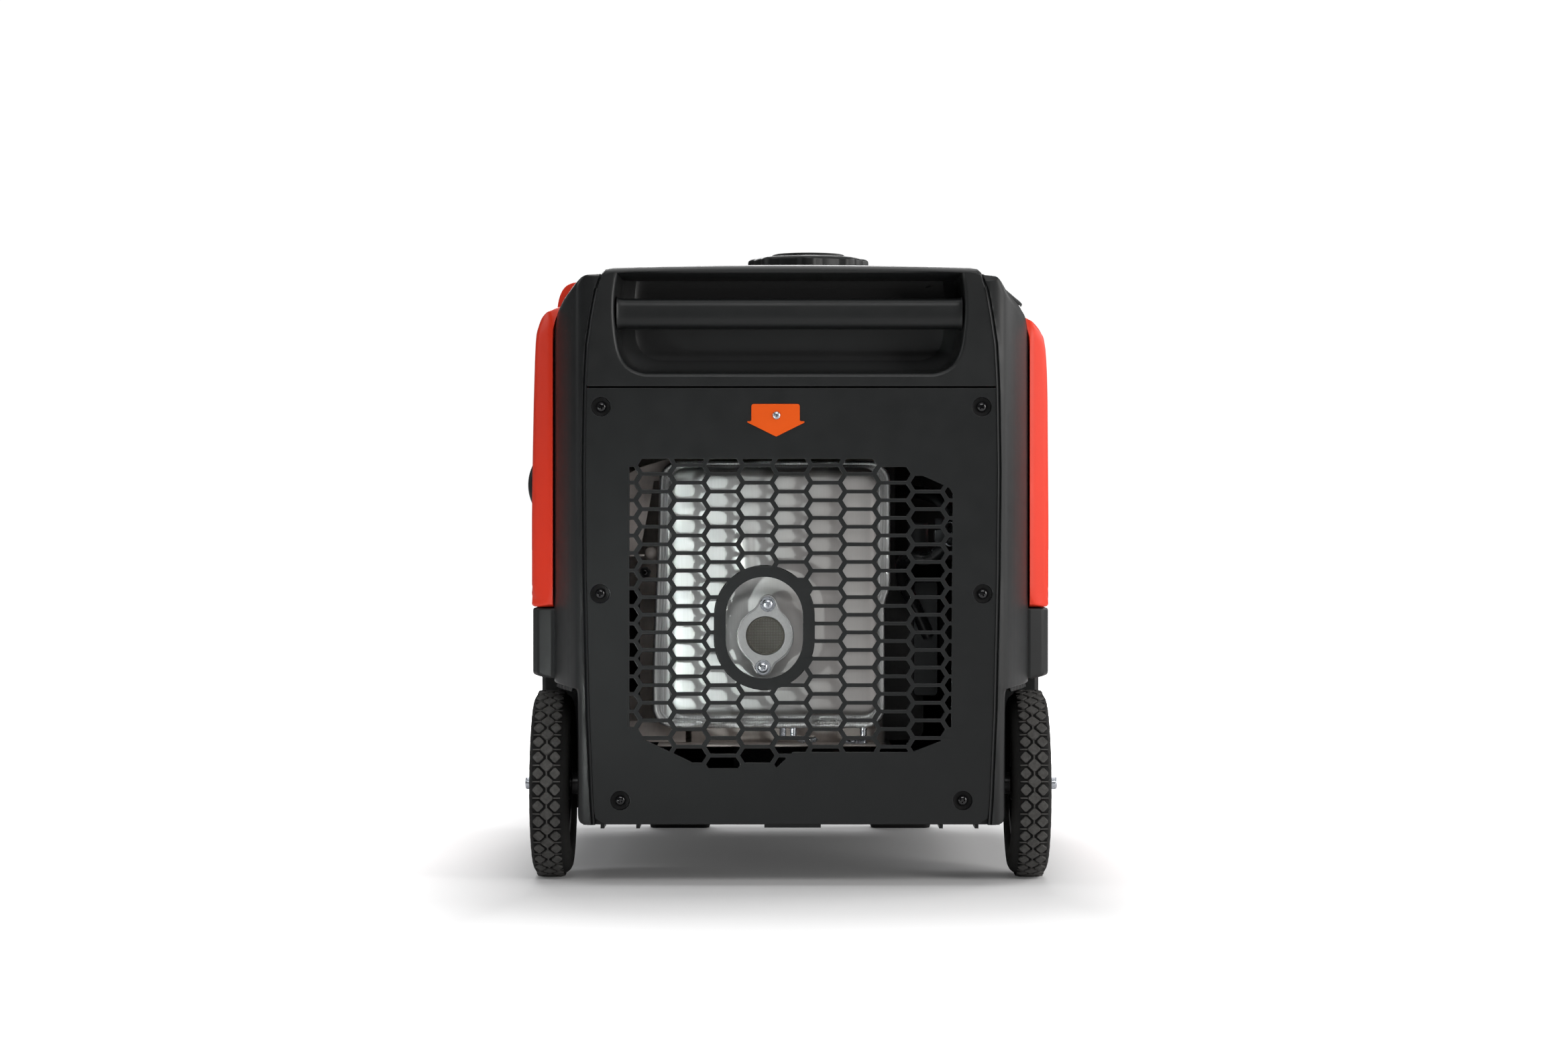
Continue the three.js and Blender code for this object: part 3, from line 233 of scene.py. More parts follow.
def cap_plastic():
    """The grained black, a little more matt low down; the inside of the hand recess is painted lighter, more so low
    down than near its top, as painted light.
    """
    k = NT("black_plastic_cap")
    big, mid, fine = k.noise(7.0, 3.0), k.noise(55.0, 3.0, 0.6), k.noise(1100.0, 2.0, 0.6)
    sep = k.n("ShaderNodeSeparateXYZ")
    k.l(k.tc.outputs["Object"], sep.inputs[0])
    col = k.mix(k.ramp(big, [(0.3, 0.0), (0.7, 1.0)]), (0.0079, 0.0087, 0.0091), (0.0097, 0.0107, 0.0111))
    # painted light: inside the hand recess the black is lifted to grey, lighter low in the recess than near its top
    recess_painted_light = k.math("MULTIPLY", k.rng(sep.outputs[1], 0.0, 1.0, -0.296, -0.270), k.rng(sep.outputs[2], 1.0, 0.0, 0.494, 0.499))
    col = k.mix(recess_painted_light, col, k.mix(k.rng(sep.outputs[2], 0.0, 1.0, 0.43, 0.47), (0.040, 0.041, 0.042), (0.026, 0.0265, 0.027)))
    col = k.mix(k.math("MULTIPLY", k.edge(), 0.08), col, (0.05, 0.053, 0.055))
    k.l(col, k.b.inputs["Base Color"])
    k.l(k.rng(mid, 0.36, 0.42, 0.3, 0.7), k.b.inputs["Roughness"])
    k.l(k.rng(sep.outputs[2], 0.27, 0.50, 0.05, 0.46), k.b.inputs["Specular IOR Level"])
    k.l(k.bump(fine, 0.35, 0.00005), k.b.inputs["Normal"])
    return k.m
M["cap"] = cap_plastic()
def tyre_rubber():
    """Moulded rubber, greyed where the tread wears and dark in the grooves."""
    k = NT("tread_rubber")
    sep = k.n("ShaderNodeSeparateXYZ")
    k.l(k.tc.outputs["Object"], sep.inputs[0])
    dy = k.math("ADD", sep.outputs[1], 0.215)
    dz = k.math("SUBTRACT", sep.outputs[2], 0.078)
    r = k.math("SQRT", k.math("ADD", k.math("MULTIPLY", dy, dy), k.math("MULTIPLY", dz, dz)))
    worn = k.rng(r, 0.0, 1.0, 0.0760, 0.0770)
    mid = k.noise(260.0, 4.0, 0.7)
    fine = k.noise(1800.0, 2.0, 0.6)
    dust = k.mix(k.ramp(mid, [(0.35, 0.0), (0.65, 1.0)]), (0.064, 0.0625, 0.0595), (0.098, 0.096, 0.092))
    dark = k.mix(k.ramp(mid, [(0.35, 0.0), (0.65, 1.0)]), (0.013, 0.013, 0.013), (0.019, 0.0188, 0.018))
    side = k.rng(r, 1.0, 0.0, 0.0715, 0.0745)
    k.l(k.mix(worn, k.mix(side, dark, (0.024, 0.0235, 0.0225)), dust), k.b.inputs["Base Color"])
    k.l(k.rng(mid, 0.72, 0.9, 0.3, 0.7), k.b.inputs["Roughness"])
    k.set(Specular_IOR_Level=0.18)
    k.l(k.bump(fine, 0.4, 0.0001), k.b.inputs["Normal"])
    return k.m
M["tyre"] = tyre_rubber()
M["orange"] = plastic("orange_paint", (0.80, 0.095, 0.004), 0.5, 0.2, 500.0, 0.00002, 0.05, 0.15, (0.9, 0.2, 0.05))
M["zinc"] = metal("zinc_plated_steel", (0.62, 0.65, 0.70), 0.28, None, 0.05, 0.12)
M["flange"] = metal("satin_aluminium", (0.40, 0.405, 0.405), 0.52, (500, 500, 500), 0.06, 0.06, 0.00003)
M["cast"] = metal("cast_aluminium", (0.36, 0.37, 0.38), 0.55, None, 0.08, 0.15, 0.00015, (0.16, 0.15, 0.14))
M["shield"] = metal("heat_stained_sheet", (0.64, 0.585, 0.55), 0.62, (420, 420, 160), 0.06, 0.2, 0.00006, (0.44, 0.40, 0.37), metallic=0.12)
def painted_shade_past_x(m, x0, x1, col):
    """Darkens the part of a sheet that lies past x0, soft up to x1 (metres), as painted shade."""
    nt = m.node_tree
    b = next(n for n in nt.nodes if n.type == "BSDF_PRINCIPLED")
    src = b.inputs["Base Color"].links[0].from_socket
    tc, sx = nt.nodes.new("ShaderNodeTexCoord"), nt.nodes.new("ShaderNodeSeparateXYZ")
    mr, mx = nt.nodes.new("ShaderNodeMapRange"), nt.nodes.new("ShaderNodeMixRGB")
    nt.links.new(tc.outputs["Object"], sx.inputs[0])
    nt.links.new(sx.outputs[0], mr.inputs["Value"])
    mr.inputs["From Min"].default_value, mr.inputs["From Max"].default_value = x0, x1
    nt.links.new(mr.outputs[0], mx.inputs[0])
    nt.links.new(src, mx.inputs[1])
    mx.inputs[2].default_value = (*col, 1)
    nt.links.new(mx.outputs[0], b.inputs["Base Color"])
# painted shade: the heat shield turns near black beyond x = 0.070 m, in the shade inside the housing right of the
# muffler
painted_shade_past_x(M["shield"], 0.070, 0.078, (0.022, 0.022, 0.022))
M["copper"] = metal("varnished_copper", (0.45, 0.17, 0.07), 0.35, (60, 900, 900), 0.06, 0.15)
M["rotor"] = metal("rotor_steel", (0.30, 0.30, 0.31), 0.45, (30, 500, 500), 0.08, 0.15)
M["ceramic"] = plastic("glazed_ceramic", (0.62, 0.61, 0.57), 0.2, 0.5, 200.0, 0.00001, 0.05, 0.1)
M["paint"] = plastic("black_paint_on_steel", (0.012, 0.012, 0.013), 0.3, 0.5, 260.0, 0.00004, 0.1, 0.5, (0.09, 0.09, 0.09))

# ------------------------------------------------------------------ geometry helpers
class Shape:
    """Collects closed shells in millimetres."""
    def __init__(self):
        self.v, self.f, self.mi = [], [], []
    def add(self, VF, mi=0):
        V, F = VF
        n = len(self.v)
        self.v += [(float(p[0]), float(p[1]), float(p[2])) for p in V]
        self.f += [tuple(int(i) + n for i in f) for f in F]
        self.mi += [mi] * len(F)
        return self

def mesh_from(name, S, recalc=True):
    me = bpy.data.meshes.new(name)
    me.from_pydata([(x * MM, y * MM, z * MM) for x, y, z in S.v], [], S.f)
    me.polygons.foreach_set("material_index", S.mi)
    me.validate()
    if recalc:
        bm = bmesh.new()
        bm.from_mesh(me)
        bmesh.ops.recalc_face_normals(bm, faces=bm.faces)
        bm.to_mesh(me)
        bm.free()
    me.update()
    return me

def piece(name, S, mat, body=H, replaces=(), angle=38, weighted=True, smooth=True):
    me = S if isinstance(S, bpy.types.Mesh) else mesh_from(name, S)
    ob = bpy.data.objects.new(name, me)
    bpy.context.scene.collection.objects.link(ob)
    for m in (mat if isinstance(mat, (list, tuple)) else [mat]):
        me.materials.append(m)
    if smooth:
        me.polygons.foreach_set("use_smooth", [True] * len(me.polygons))
        me.set_sharp_from_angle(angle=math.radians(angle))
        if weighted:
            w = ob.modifiers.new("normals", "WEIGHTED_NORMAL")
            w.keep_sharp = True
            w.weight = 50
    if body:
        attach(ob, body)
    if replaces:
        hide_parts(*([replaces] if isinstance(replaces, str) else replaces))
    return ob

def resample(pts, n):
    """n points evenly along an open polyline."""
    p = np.array(pts, float)
    s = np.r_[0, np.cumsum(np.linalg.norm(np.diff(p, axis=0), axis=1))]
    t = np.linspace(0, s[-1], n)
    return np.stack([np.interp(t, s, p[:, k]) for k in range(p.shape[1])], 1)

def smooth_line(pts, n, it=2):
    """Chaikin-smoothed open polyline with its ends kept, resampled to n points."""
    p = np.array(pts, float)
    for _ in range(it):
        q = [p[0]]
        for a, b in zip(p[:-1], p[1:]):
            q += [a * 0.75 + b * 0.25, a * 0.25 + b * 0.75]
        q.append(p[-1])
        p = np.array(q)
    return resample(p, n)

def round_poly(pts, r, n=6):
    """Closed polygon with rounded corners; r is one radius or one per corner."""
    P = [np.array(p, float) for p in pts]
    out = []
    for i, p in enumerate(P):
        rr = r[i] if hasattr(r, "__len__") else r
        a, b = P[i - 1], P[(i + 1) % len(P)]
        if rr <= 0:
            out.append(p)
            continue
        ua, ub = (a - p), (b - p)
        la, lb = np.linalg.norm(ua), np.linalg.norm(ub)
        ua, ub = ua / la, ub / lb
        ang = math.acos(max(-1, min(1, float(ua @ ub))))
        t = min(rr / math.tan(ang / 2), la * 0.49, lb * 0.49)
        rad = t * math.tan(ang / 2)
        bis = ua + ub
        c = p + bis / np.linalg.norm(bis) * rad / math.sin(ang / 2)
        q0, q1 = p + ua * t, p + ub * t
        t0 = math.atan2(q0[1] - c[1], q0[0] - c[0])
        dt = math.atan2(q1[1] - c[1], q1[0] - c[0]) - t0
        while dt > math.pi: dt -= 2 * math.pi
        while dt < -math.pi: dt += 2 * math.pi
        for k in range(n + 1):
            out.append(c + rad * np.array([math.cos(t0 + dt * k / n), math.sin(t0 + dt * k / n)]))
    return np.array(out)

def rect(x0, x1, y0, y1):
    return [(x0, y0), (x1, y0), (x1, y1), (x0, y1)]

def circle(cx, cy, r, n=32):
    t = np.linspace(0, 2 * math.pi, n, endpoint=False)
    return np.stack([cx + r * np.cos(t), cy + r * np.sin(t)], 1)

def oval(cx, cy, w, h, n=18):
    r, s = w / 2, (h - w) / 2
    t = np.linspace(0, math.pi, n)
    a = np.stack([cx + r * np.cos(t), cy + s + r * np.sin(t)], 1)
    b = np.stack([cx - r * np.cos(t), cy - s - r * np.sin(t)], 1)
    return np.r_[a, b]

def area2(p):
    p = np.asarray(p)
    x, y = p[:, 0], p[:, 1]
    return float(np.sum(x * np.roll(y, -1) - np.roll(x, -1) * y)) / 2

def inset(loop, d):
    """Closed loop moved by d towards its left side; a counter-clockwise loop shrinks."""
    p = np.asarray(loop, float)
    a, b = p - np.roll(p, 1, 0), np.roll(p, -1, 0) - p
    a /= np.maximum(np.linalg.norm(a, axis=1), 1e-9)[:, None]
    b /= np.maximum(np.linalg.norm(b, axis=1), 1e-9)[:, None]
    na, nb = np.stack([-a[:, 1], a[:, 0]], 1), np.stack([-b[:, 1], b[:, 0]], 1)
    m = na + nb
    L = np.maximum((m * m).sum(1), 0.3)
    return p + d * 2 * m / L[:, None]

AX = {"y": lambda u, v, w: (u, w, v), "x": lambda u, v, w: (w, u, v), "z": lambda u, v, w: (u, v, w)}

def plate(outer, holes, axis, a, b, bev=0.6, seg=2, bev_back=None):
    """Flat piece between a and b along axis, every edge rounded by bev. b is the side whose edges show."""
    put = AX[axis]
    loops = [np.asarray(outer, float) if area2(outer) > 0 else np.asarray(outer, float)[::-1]]
    loops += [np.asarray(h, float) if area2(h) < 0 else np.asarray(h, float)[::-1] for h in holes]
    bb = bev if bev_back is None else bev_back
    s = 1 if b > a else -1
    prof = [(bev * (1 - math.sin(k / seg * math.pi / 2)), b - s * bev * (1 - math.cos(k / seg * math.pi / 2))) for k in range(seg + 1)]
    prof += [(bb * (1 - math.sin((seg - k) / seg * math.pi / 2)), a + s * bb * (1 - math.cos((seg - k) / seg * math.pi / 2))) for k in range(seg + 1)] if bb > 0 else [(0, a)]
    V, F = [], []
    top, bot = [], []
    for L in loops:
        n = len(L)
        rings = [inset(L, d) for d, _ in prof]
        base = len(V)
        for R, (_, w) in zip(rings, prof):
            V += [put(q[0], q[1], w) for q in R]
        for k in range(len(prof) - 1):
            for i in range(n):
                j = (i + 1) % n
                F.append((base + k * n + i, base + k * n + j, base + (k + 1) * n + j, base + (k + 1) * n + i))
        top.append((rings[0], base))
        bot.append((rings[-1], base + (len(prof) - 1) * n))
    for side, flip in ((top, False), (bot, True)):
        pts = [[Vector((q[0], q[1], 0)) for q in R] for R, _ in side]
        idx = [b0 + i for R, b0 in side for i in range(len(R))]
        for t in tessellate_polygon(pts):
            f = tuple(idx[i] for i in t)
            F.append(f[::-1] if flip else f)
    return V, F

def loft(rings, cap0=True, cap1=True, closed=True):
    n = len(rings[0])
    V = [tuple(p) for R in rings for p in R]
    F = []
    for k in range(len(rings) - 1):
        for i in range(n if closed else n - 1):
            j = (i + 1) % n
            F.append((k * n + i, k * n + j, (k + 1) * n + j, (k + 1) * n + i))
    if cap0:
        F.append(tuple(range(n))[::-1])
    if cap1:
        F.append(tuple(range((len(rings) - 1) * n, len(rings) * n)))
    return V, F

def lathe(profile, axis, at, n=32, phase=0.0):
    """profile [(radius, along)], open at the axis or closed on itself."""
    V, F, rows = [], [], []
    on_axis = profile[0][0] == 0 and profile[-1][0] == 0
    for r, h in profile:
        if r == 0:
            rows.append([len(V)])
            pts = [(0.0, 0.0)]
        else:
            rows.append(list(range(len(V), len(V) + n)))
            pts = [(r * math.cos(phase + 2 * math.pi * i / n), r * math.sin(phase + 2 * math.pi * i / n)) for i in range(n)]
        for u, v in pts:
            if axis == "x": q = (at[0] + h, at[1] + u, at[2] + v)
            elif axis == "y": q = (at[0] + u, at[1] + h, at[2] + v)
            else: q = (at[0] + u, at[1] + v, at[2] + h)
            V.append(q)
    pairs = list(zip(rows[:-1], rows[1:])) + ([] if on_axis else [(rows[-1], rows[0])])
    for A, Bq in pairs:
        for i in range(n):
            j = (i + 1) % n
            if len(A) == 1 and len(Bq) == 1: continue
            if len(A) == 1: F.append((A[0], Bq[j], Bq[i]))
            elif len(Bq) == 1: F.append((A[i], A[j], Bq[0]))
            else: F.append((A[i], A[j], Bq[j], Bq[i]))
    return V, F

def rbox(x0, x1, y0, y1, z0, z1, r=1.0, seg=2):
    """Box with every edge rounded."""
    bm = bmesh.new()
    bmesh.ops.create_cube(bm, size=1.0)
    for v in bm.verts:
        v.co = Vector(((x0 + x1) / 2 + v.co.x * (x1 - x0), (y0 + y1) / 2 + v.co.y * (y1 - y0), (z0 + z1) / 2 + v.co.z * (z1 - z0)))
    if r > 0:
        bmesh.ops.bevel(bm, geom=list(bm.edges), offset=r, segments=seg, profile=0.5, affect="EDGES", clamp_overlap=True)
    V = [tuple(v.co) for v in bm.verts]
    F = [tuple(v.index for v in f.verts) for f in bm.faces]
    bm.free()
    return V, F

def sweep(path, r, n=12, up=(0, 0, 1), caps=True, sect=None):
    """Round bar (or a section, a list of (u, v)) along a polyline."""
    P = [Vector(p) for p in path]
    T = []
    for i in range(len(P)):
        a = P[max(0, i - 1)]; b = P[min(len(P) - 1, i + 1)]
        T.append((b - a).normalized())
    N = Vector(up).cross(T[0])
    if N.length < 1e-3: N = Vector((1, 0, 0)).cross(T[0])
    N.normalize()
    rings = []
    for i, (p, t) in enumerate(zip(P, T)):
        N = (N - t * N.dot(t)).normalized()
        Bn = t.cross(N)
        rr = r[i] if hasattr(r, "__len__") else r
        if sect is None:
            rings.append([tuple(p + N * (rr * math.cos(2 * math.pi * k / n)) + Bn * (rr * math.sin(2 * math.pi * k / n))) for k in range(n)])
        else:
            rings.append([tuple(p + N * u + Bn * v) for u, v in sect])
    return loft(rings, caps, caps)

def curve3(pts, n):
    """Catmull-Rom through points."""
    P = [np.array(p, float) for p in pts]
    P = [2 * P[0] - P[1]] + P + [2 * P[-1] - P[-2]]
    out = []
    m = len(P) - 3
    for k in range(n):
        t = k / (n - 1) * m
        i = min(int(t), m - 1)
        f = t - i
        a, b, c, d = P[i], P[i + 1], P[i + 2], P[i + 3]
        out.append(0.5 * ((2 * b) + (c - a) * f + (2 * a - 5 * b + 4 * c - d) * f * f + (3 * b - a - 3 * c + d) * f ** 3))
    return out

def boolean(ob_mesh, cutters, op="DIFFERENCE"):
    """Mesh cut by closed shells (Shape), with the exact solver."""
    sc = bpy.context.scene
    a = bpy.data.objects.new("tmp_a", ob_mesh)
    sc.collection.objects.link(a)
    temps = [a]
    for c in cutters:
        cm = c if isinstance(c, bpy.types.Mesh) else mesh_from("tmp_c", c)
        b = bpy.data.objects.new("tmp_b", cm)
        sc.collection.objects.link(b)
        temps.append(b)
        m = a.modifiers.new("b", "BOOLEAN")
        m.operation = op
        m.solver = "EXACT"
        m.object = b
    dg = bpy.context.evaluated_depsgraph_get()
    out = bpy.data.meshes.new_from_object(a.evaluated_get(dg))
    for t in temps:
        bpy.data.objects.remove(t)
    return out

def bevel_mesh(me, width, seg=2, angle=40):
    """Rounds the sharp edges of a mesh (width in mm)."""
    sc = bpy.context.scene
    a = bpy.data.objects.new("tmp_v", me)
    sc.collection.objects.link(a)
    m = a.modifiers.new("b", "BEVEL")
    m.width = width * MM
    m.segments = seg
    m.limit_method = "ANGLE"
    m.angle_limit = math.radians(angle)
    m.use_clamp_overlap = True
    m.harden_normals = False
    m.miter_outer = "MITER_ARC"
    dg = bpy.context.evaluated_depsgraph_get()
    out = bpy.data.meshes.new_from_object(a.evaluated_get(dg))
    bpy.data.objects.remove(a)
    return out

# ------------------------------------------------------------------ shared dimensions (mm)
Y0, Y1 = -305.0, 290.0
SEAM = [(161, 50), (162.5, 72), (165.5, 143), (168, 254), (168.8, 338), (167.8, 405), (166, 440), (162.7, 463), (159, 484), (154.5, 497), (150, 506)]
def seam_x(z):
    if z <= SEAM[0][1]: return SEAM[0][0]
    for (xa, za), (xb, zb) in zip(SEAM[:-1], SEAM[1:]):
        if z <= zb: return xa + (xb - xa) * (z - za) / (zb - za)
    return SEAM[-1][0]
def seam_line(z0, z1, n, d=0.0):
    zs = np.linspace(z0, z1, 60)
    raw = np.array([(seam_x(z), z) for z in zs])
    k = np.ones(7) / 7
    pad = np.r_[[raw[0]] * 3, raw, [raw[-1]] * 3]
    x = np.convolve(pad[:, 0], k, "valid")
    return resample(np.stack([x + d, zs], 1), n)

def ring4(L, T, R, B, n):
    """Closed loop of four sides with fixed counts; each side runs on from the last."""
    out = []
    for side, c in zip((L, T, R, B), n):
        out.append(resample(side, c + 1)[:-1])
    return np.concatenate(out)

def at_y(loop, y):
    return [(p[0], y, p[1]) for p in loop]

# ------------------------------------------------------------------ exhaust end cap with its hand recess
def recess_loop(off, cx=-1.5):
    """Recess outline; off moves it outward."""
    half = [(139.3, 497.6), (141.6, 484), (142.3, 472), (141.8, 458), (140.5, 446), (138.9, 437), (136.2, 429.4), (131.5, 423.2), (125, 419), (117, 417.3)]
    half = [(x, z) for x, z in half]
    P = np.array([(cx + x, z) for x, z in half] + [(cx - x, z) for x, z in half[::-1]])
    top = resample([(cx - 139.3, 497.6), (cx + 139.3, 497.6)], 25)[:-1]
    right = resample(smooth_line([(cx + x, z) for x, z in half], 40), 19)[:-1]
    bot = resample([(cx + 117, 417.3), (cx - 117, 417.3)], 25)[:-1]
    left = resample(smooth_line([(cx - x, z) for x, z in half[::-1]], 40), 19)[:-1]
    loop = np.concatenate([top, right, bot, left])            # clockwise seen from the front
    return inset(loop, off)                                    # clockwise: positive moves outward

def back_loop(cx=-1.5):
    """Outline of the recess's back wall, in step with recess_loop."""
    half = [(117.5, 495.0), (119, 482), (119, 462), (118.4, 450), (116, 443.6), (111, 439.6), (104, 438)]
    top = resample([(cx - 117.5, 495.0), (cx + 117.5, 495.0)], 25)[:-1]
    right = resample(smooth_line([(cx + x, z) for x, z in half], 40), 19)[:-1]
    bot = resample([(cx + 104, 438), (cx - 104, 438)], 25)[:-1]
    left = resample(smooth_line([(cx - x, z) for x, z in half[::-1]], 40), 19)[:-1]
    return np.concatenate([top, right, bot, left])

def rim(x, z_top, back):
    """Height of the cap's upper edge: a slight crown and a soft corner at each end."""
    u = min(1.0, max(0.0, (abs(x) - 148.5) / 5.5))
    return z_top - (2.2 + 0.8 * back) * (abs(x) / 150) ** 2 - 3.8 * u * u

def end_cap():
    cx = -1.5
    n = (24, 18, 24, 18)
    def outer(d, ztop=497.4, zb=406.1):
        zt = ztop
        e = seam_x(zt) - 0.35 - d
        T = [(e * math.copysign(1 - (1 - abs(t)) ** 1.6, t), zt) for t in np.linspace(-1, 1, n[0] + 1)]
        Rr = seam_line(zt, zb + d, 60, -0.35 - d)
        L = [(-x, z) for x, z in Rr[::-1]]
        B = [(Rr[-1][0], zb + d), (-Rr[-1][0], zb + d)]
        return np.concatenate([np.array(T)[:-1], ring4(T, Rr, B, L, n)[n[0]:]])
    def top_move(loop, y_side, y_top, z_top):
        """Ring at y_side, whose top row goes to (y_top, z_top)."""
        out = []
        for i, p in enumerate(loop):
            if i <= n[0]:
                back = min(1.0, max(0.0, (y_top - Y0 - 12) / 58.0))
                out.append((p[0] * (1 - 0.0264 * back), y_top, rim(p[0], z_top, back)))
            else:
                out.append((p[0], y_side, p[1]))
        return out
    def lip(loop, k):
        """Keeps the lip of the recess under the rim above it."""
        return np.array([(x, min(z, rim(x, 501.2, 0.0) - 0.35 - 0.3 * k)) for x, z in loop])
    W = 3.0
    rings = []
    # rear of the tub, the inner side, then out to the roof edge and round to the face
    tub = back_loop()
    rings.append(at_y(inset(tub, -6.0), Y0 + 56.6))
    rings.append(at_y(inset(tub, 3.0), Y0 + 56.0))
    rings.append(at_y(recess_loop(-0.6), Y0 + 36))
    rings.append(at_y(recess_loop(2.0), Y0 + 6))
    o = outer(2.5, 497.0)
    rings.append(top_move(o, Y0 + W, Y0 + 9, 501.6))
    rings.append(top_move(outer(1.6), Y0 + W, Y0 + 70, 504.4))
    rings.append(top_move(outer(0.2), Y0 + W, Y0 + 70.5, 507.0))
    rings.append(top_move(outer(0.0), Y0 + 2.7, Y0 + 69.5, 507.8))
    rings.append(top_move(outer(0.0), Y0 + 2.6, Y0 + 45, 507.2))
    rings.append(top_move(outer(0.0), Y0 + 2.4, Y0 + 24, 506.2))
    rings.append(top_move(outer(0.0), Y0 + 2.0, Y0 + 12, 505.5))
    rings.append(top_move(outer(0.0), Y0 + 1.6, Y0 + 6.5, 504.8))
    rings.append(top_move(outer(0.1), Y0 + 1.1, Y0 + 3.6, 503.8))
    rings.append(top_move(outer(0.35), Y0 + 0.55, Y0 + 1.5, 502.8))
    rings.append(top_move(outer(0.7), Y0 + 0.18, Y0 + 0.5, 501.9))
    rings.append(top_move(outer(1.2, 497.2), Y0, Y0, 501.2))
    # face to lip, drafted wall, fillet, back wall
    rings.append(at_y(lip(recess_loop(3.6), 0), Y0))
    for n_, a in enumerate((22, 45, 68, 90)):
        t = math.radians(a)
        rings.append(at_y(lip(recess_loop(3.6 * (1 - math.sin(t))), n_ + 1), Y0 + 3.6 * (1 - math.cos(t))))
    dr = lambda d: -0.085 * d
    for d in (7, 16, 25, 32):
        rings.append(at_y(recess_loop(dr(d)), Y0 + d))
    f0 = recess_loop(dr(32))
    for a in (11, 22, 33, 44, 55, 66, 78, 90):
        t = math.radians(a)
        wt = 1 - math.cos(t)
        rings.append(at_y(f0 * (1 - wt) + tub * wt, Y0 + 32 + 20 * math.sin(t)))
    rings.append(at_y(inset(tub, -6.0), Y0 + 52.1))
    V, F = loft(rings)
    return V, F
S = Shape().add(end_cap())
piece("end_cap_moulding", S, M["cap"], replaces="exhaust_end_cap", angle=50)

# ------------------------------------------------------------------ carry bar
def carry_bar():
    cx, cz, y, r = -1.5, 465.6, Y0 + 15, 12.5
    sec = []
    for k in range(32):
        t = 2 * math.pi * k / 32
        c, s = math.cos(t), math.sin(t)
        e = 0.5 if s > 0 else 0.8
        sec.append((r * math.copysign(abs(c) ** e, c), r * math.copysign(abs(s) ** e, s)))
    xs = [(-142.0, 0.0), (-141.9, 1.6), (-140.9, 0.9), (-139.2, 0.4), (-136.8, 0.1), (-134, 0.0), (-100, 0), (-60, 0), (0, 0), (60, 0), (100, 0), (131, 0.0), (133.8, 0.1), (136.2, 0.4), (137.9, 0.9), (138.9, 1.6), (139.0, 0)]
    xs = xs[1:-1]
    rings = [[(x, y + u * (1 + g / 12.5) * 0.96, cz + v * (1 + g / 12.5)) for u, v in sec] for x, g in xs]
    return loft(rings)
piece("carry_bar_moulding", Shape().add(carry_bar()), M["black"], replaces="exhaust_carry_bar", angle=50)

# ------------------------------------------------------------------ grille panel, from the openings of the CAD panel
def flat_loops(node, y):
    me = NODES[node].data
    co = np.empty(len(me.vertices) * 3)
    me.vertices.foreach_get("co", co)
    co = co.reshape(-1, 3) / MM
    key = {}
    def k(i):
        p = co[i]
        return (round(p[0], 2), round(p[2], 2))
    edges = {}
    for pl in me.polygons:
        vs = list(pl.vertices)
        if all(abs(co[i][1] - y) < 0.02 for i in vs):
            for a, b in zip(vs, vs[1:] + vs[:1]):
                A, B = k(a), k(b)
                if A != B:
                    edges[(A, B)] = edges.get((A, B), 0) + 1
    bound = {}
    for (A, B), c in edges.items():
        if (B, A) not in edges:
            bound.setdefault(A, []).append(B)
    loops = []
    while bound:
        s = next(iter(bound))
        L = [s]
        cur = s
        while cur in bound:
            nx = bound[cur].pop()
            if not bound[cur]:
                del bound[cur]
            if nx == s:
                break
            L.append(nx)
            cur = nx
        # drop points that lie on a straight line
        P = [np.array(p) for p in L]
        out = []
        for i, p in enumerate(P):
            a, b = P[i - 1], P[(i + 1) % len(P)]
            u, v = p - a, b - p
            if abs(u[0] * v[1] - u[1] * v[0]) > 0.012 * max(1e-6, np.linalg.norm(u) * np.linalg.norm(v)):
                out.append(p)
        if len(out) > 2:
            loops.append(np.array(out))
    return loops

SCREWS = [(-154.5, 389.7), (154.5, 389.7), (-155.3, 238), (155.3, 238), (-139, 70.3), (139, 70.3)]
RING_X, RING_Z = -22.0, 210.5
def grille():
    loops = flat_loops("exhaust_grille_panel", Y0)
    loops.sort(key=lambda L: -abs(area2(L)))
    outer, rest = loops[0], loops[1:]
    S = Shape()
    holes = []
    for L in rest:
        c = L.mean(0)
        if any(math.hypot(c[0] - x, c[1] - z) < 4 for x, z in SCREWS):
            continue                                            # screw pockets are made below
        if math.hypot(c[0] - RING_X, c[1] - RING_Z) < 6 and abs(area2(L)) > 3000:
            continue
        holes.append(L)
    hx = []
    for L in holes:
        rr = []
        for i, p in enumerate(L):
            a, b = L[i - 1], L[(i + 1) % len(L)]
            e = min(np.linalg.norm(p - a), np.linalg.norm(p - b))
            rr.append(min(0.75, e * 0.4) if e > 1.0 else 0.0)
        hx.append(round_poly(L, rr, 3))
    ring = oval(RING_X, RING_Z, 62.6, 82.4, 26)
    pockets = [circle(x, z, 7.8, 28) for x, z in SCREWS]
    o = ring4(*[x for x in panel_sides()], (2, 40, 2, 40))
    S.add(plate(o, hx + [ring] + pockets, "y", Y0 + 4.0, Y0, 0.45, 2, 0.3))
    # raised wall behind the ring
    a = oval(RING_X, RING_Z, 82, 101.6, 26); b = oval(RING_X, RING_Z, 65.5, 85.4, 26)
    S.add(plate(a, [b], "y", Y0 + 7.5, Y0 + 3.4, 0.4, 1, 0.4))
    # screw pockets
    for x, z in SCREWS:
        prof = [(7.8, -1.2), (7.75, -2.6), (7.2, -4.0), (6.4, -4.4), (2.7, -4.4), (2.7, -7.2), (9.4, -7.2), (9.8, -6.6), (9.8, -1.2)]
        V, F = lathe([(r, -h) for r, h in prof], "y", (x, Y0, z), 28)
        S.add((V, F))
    return S
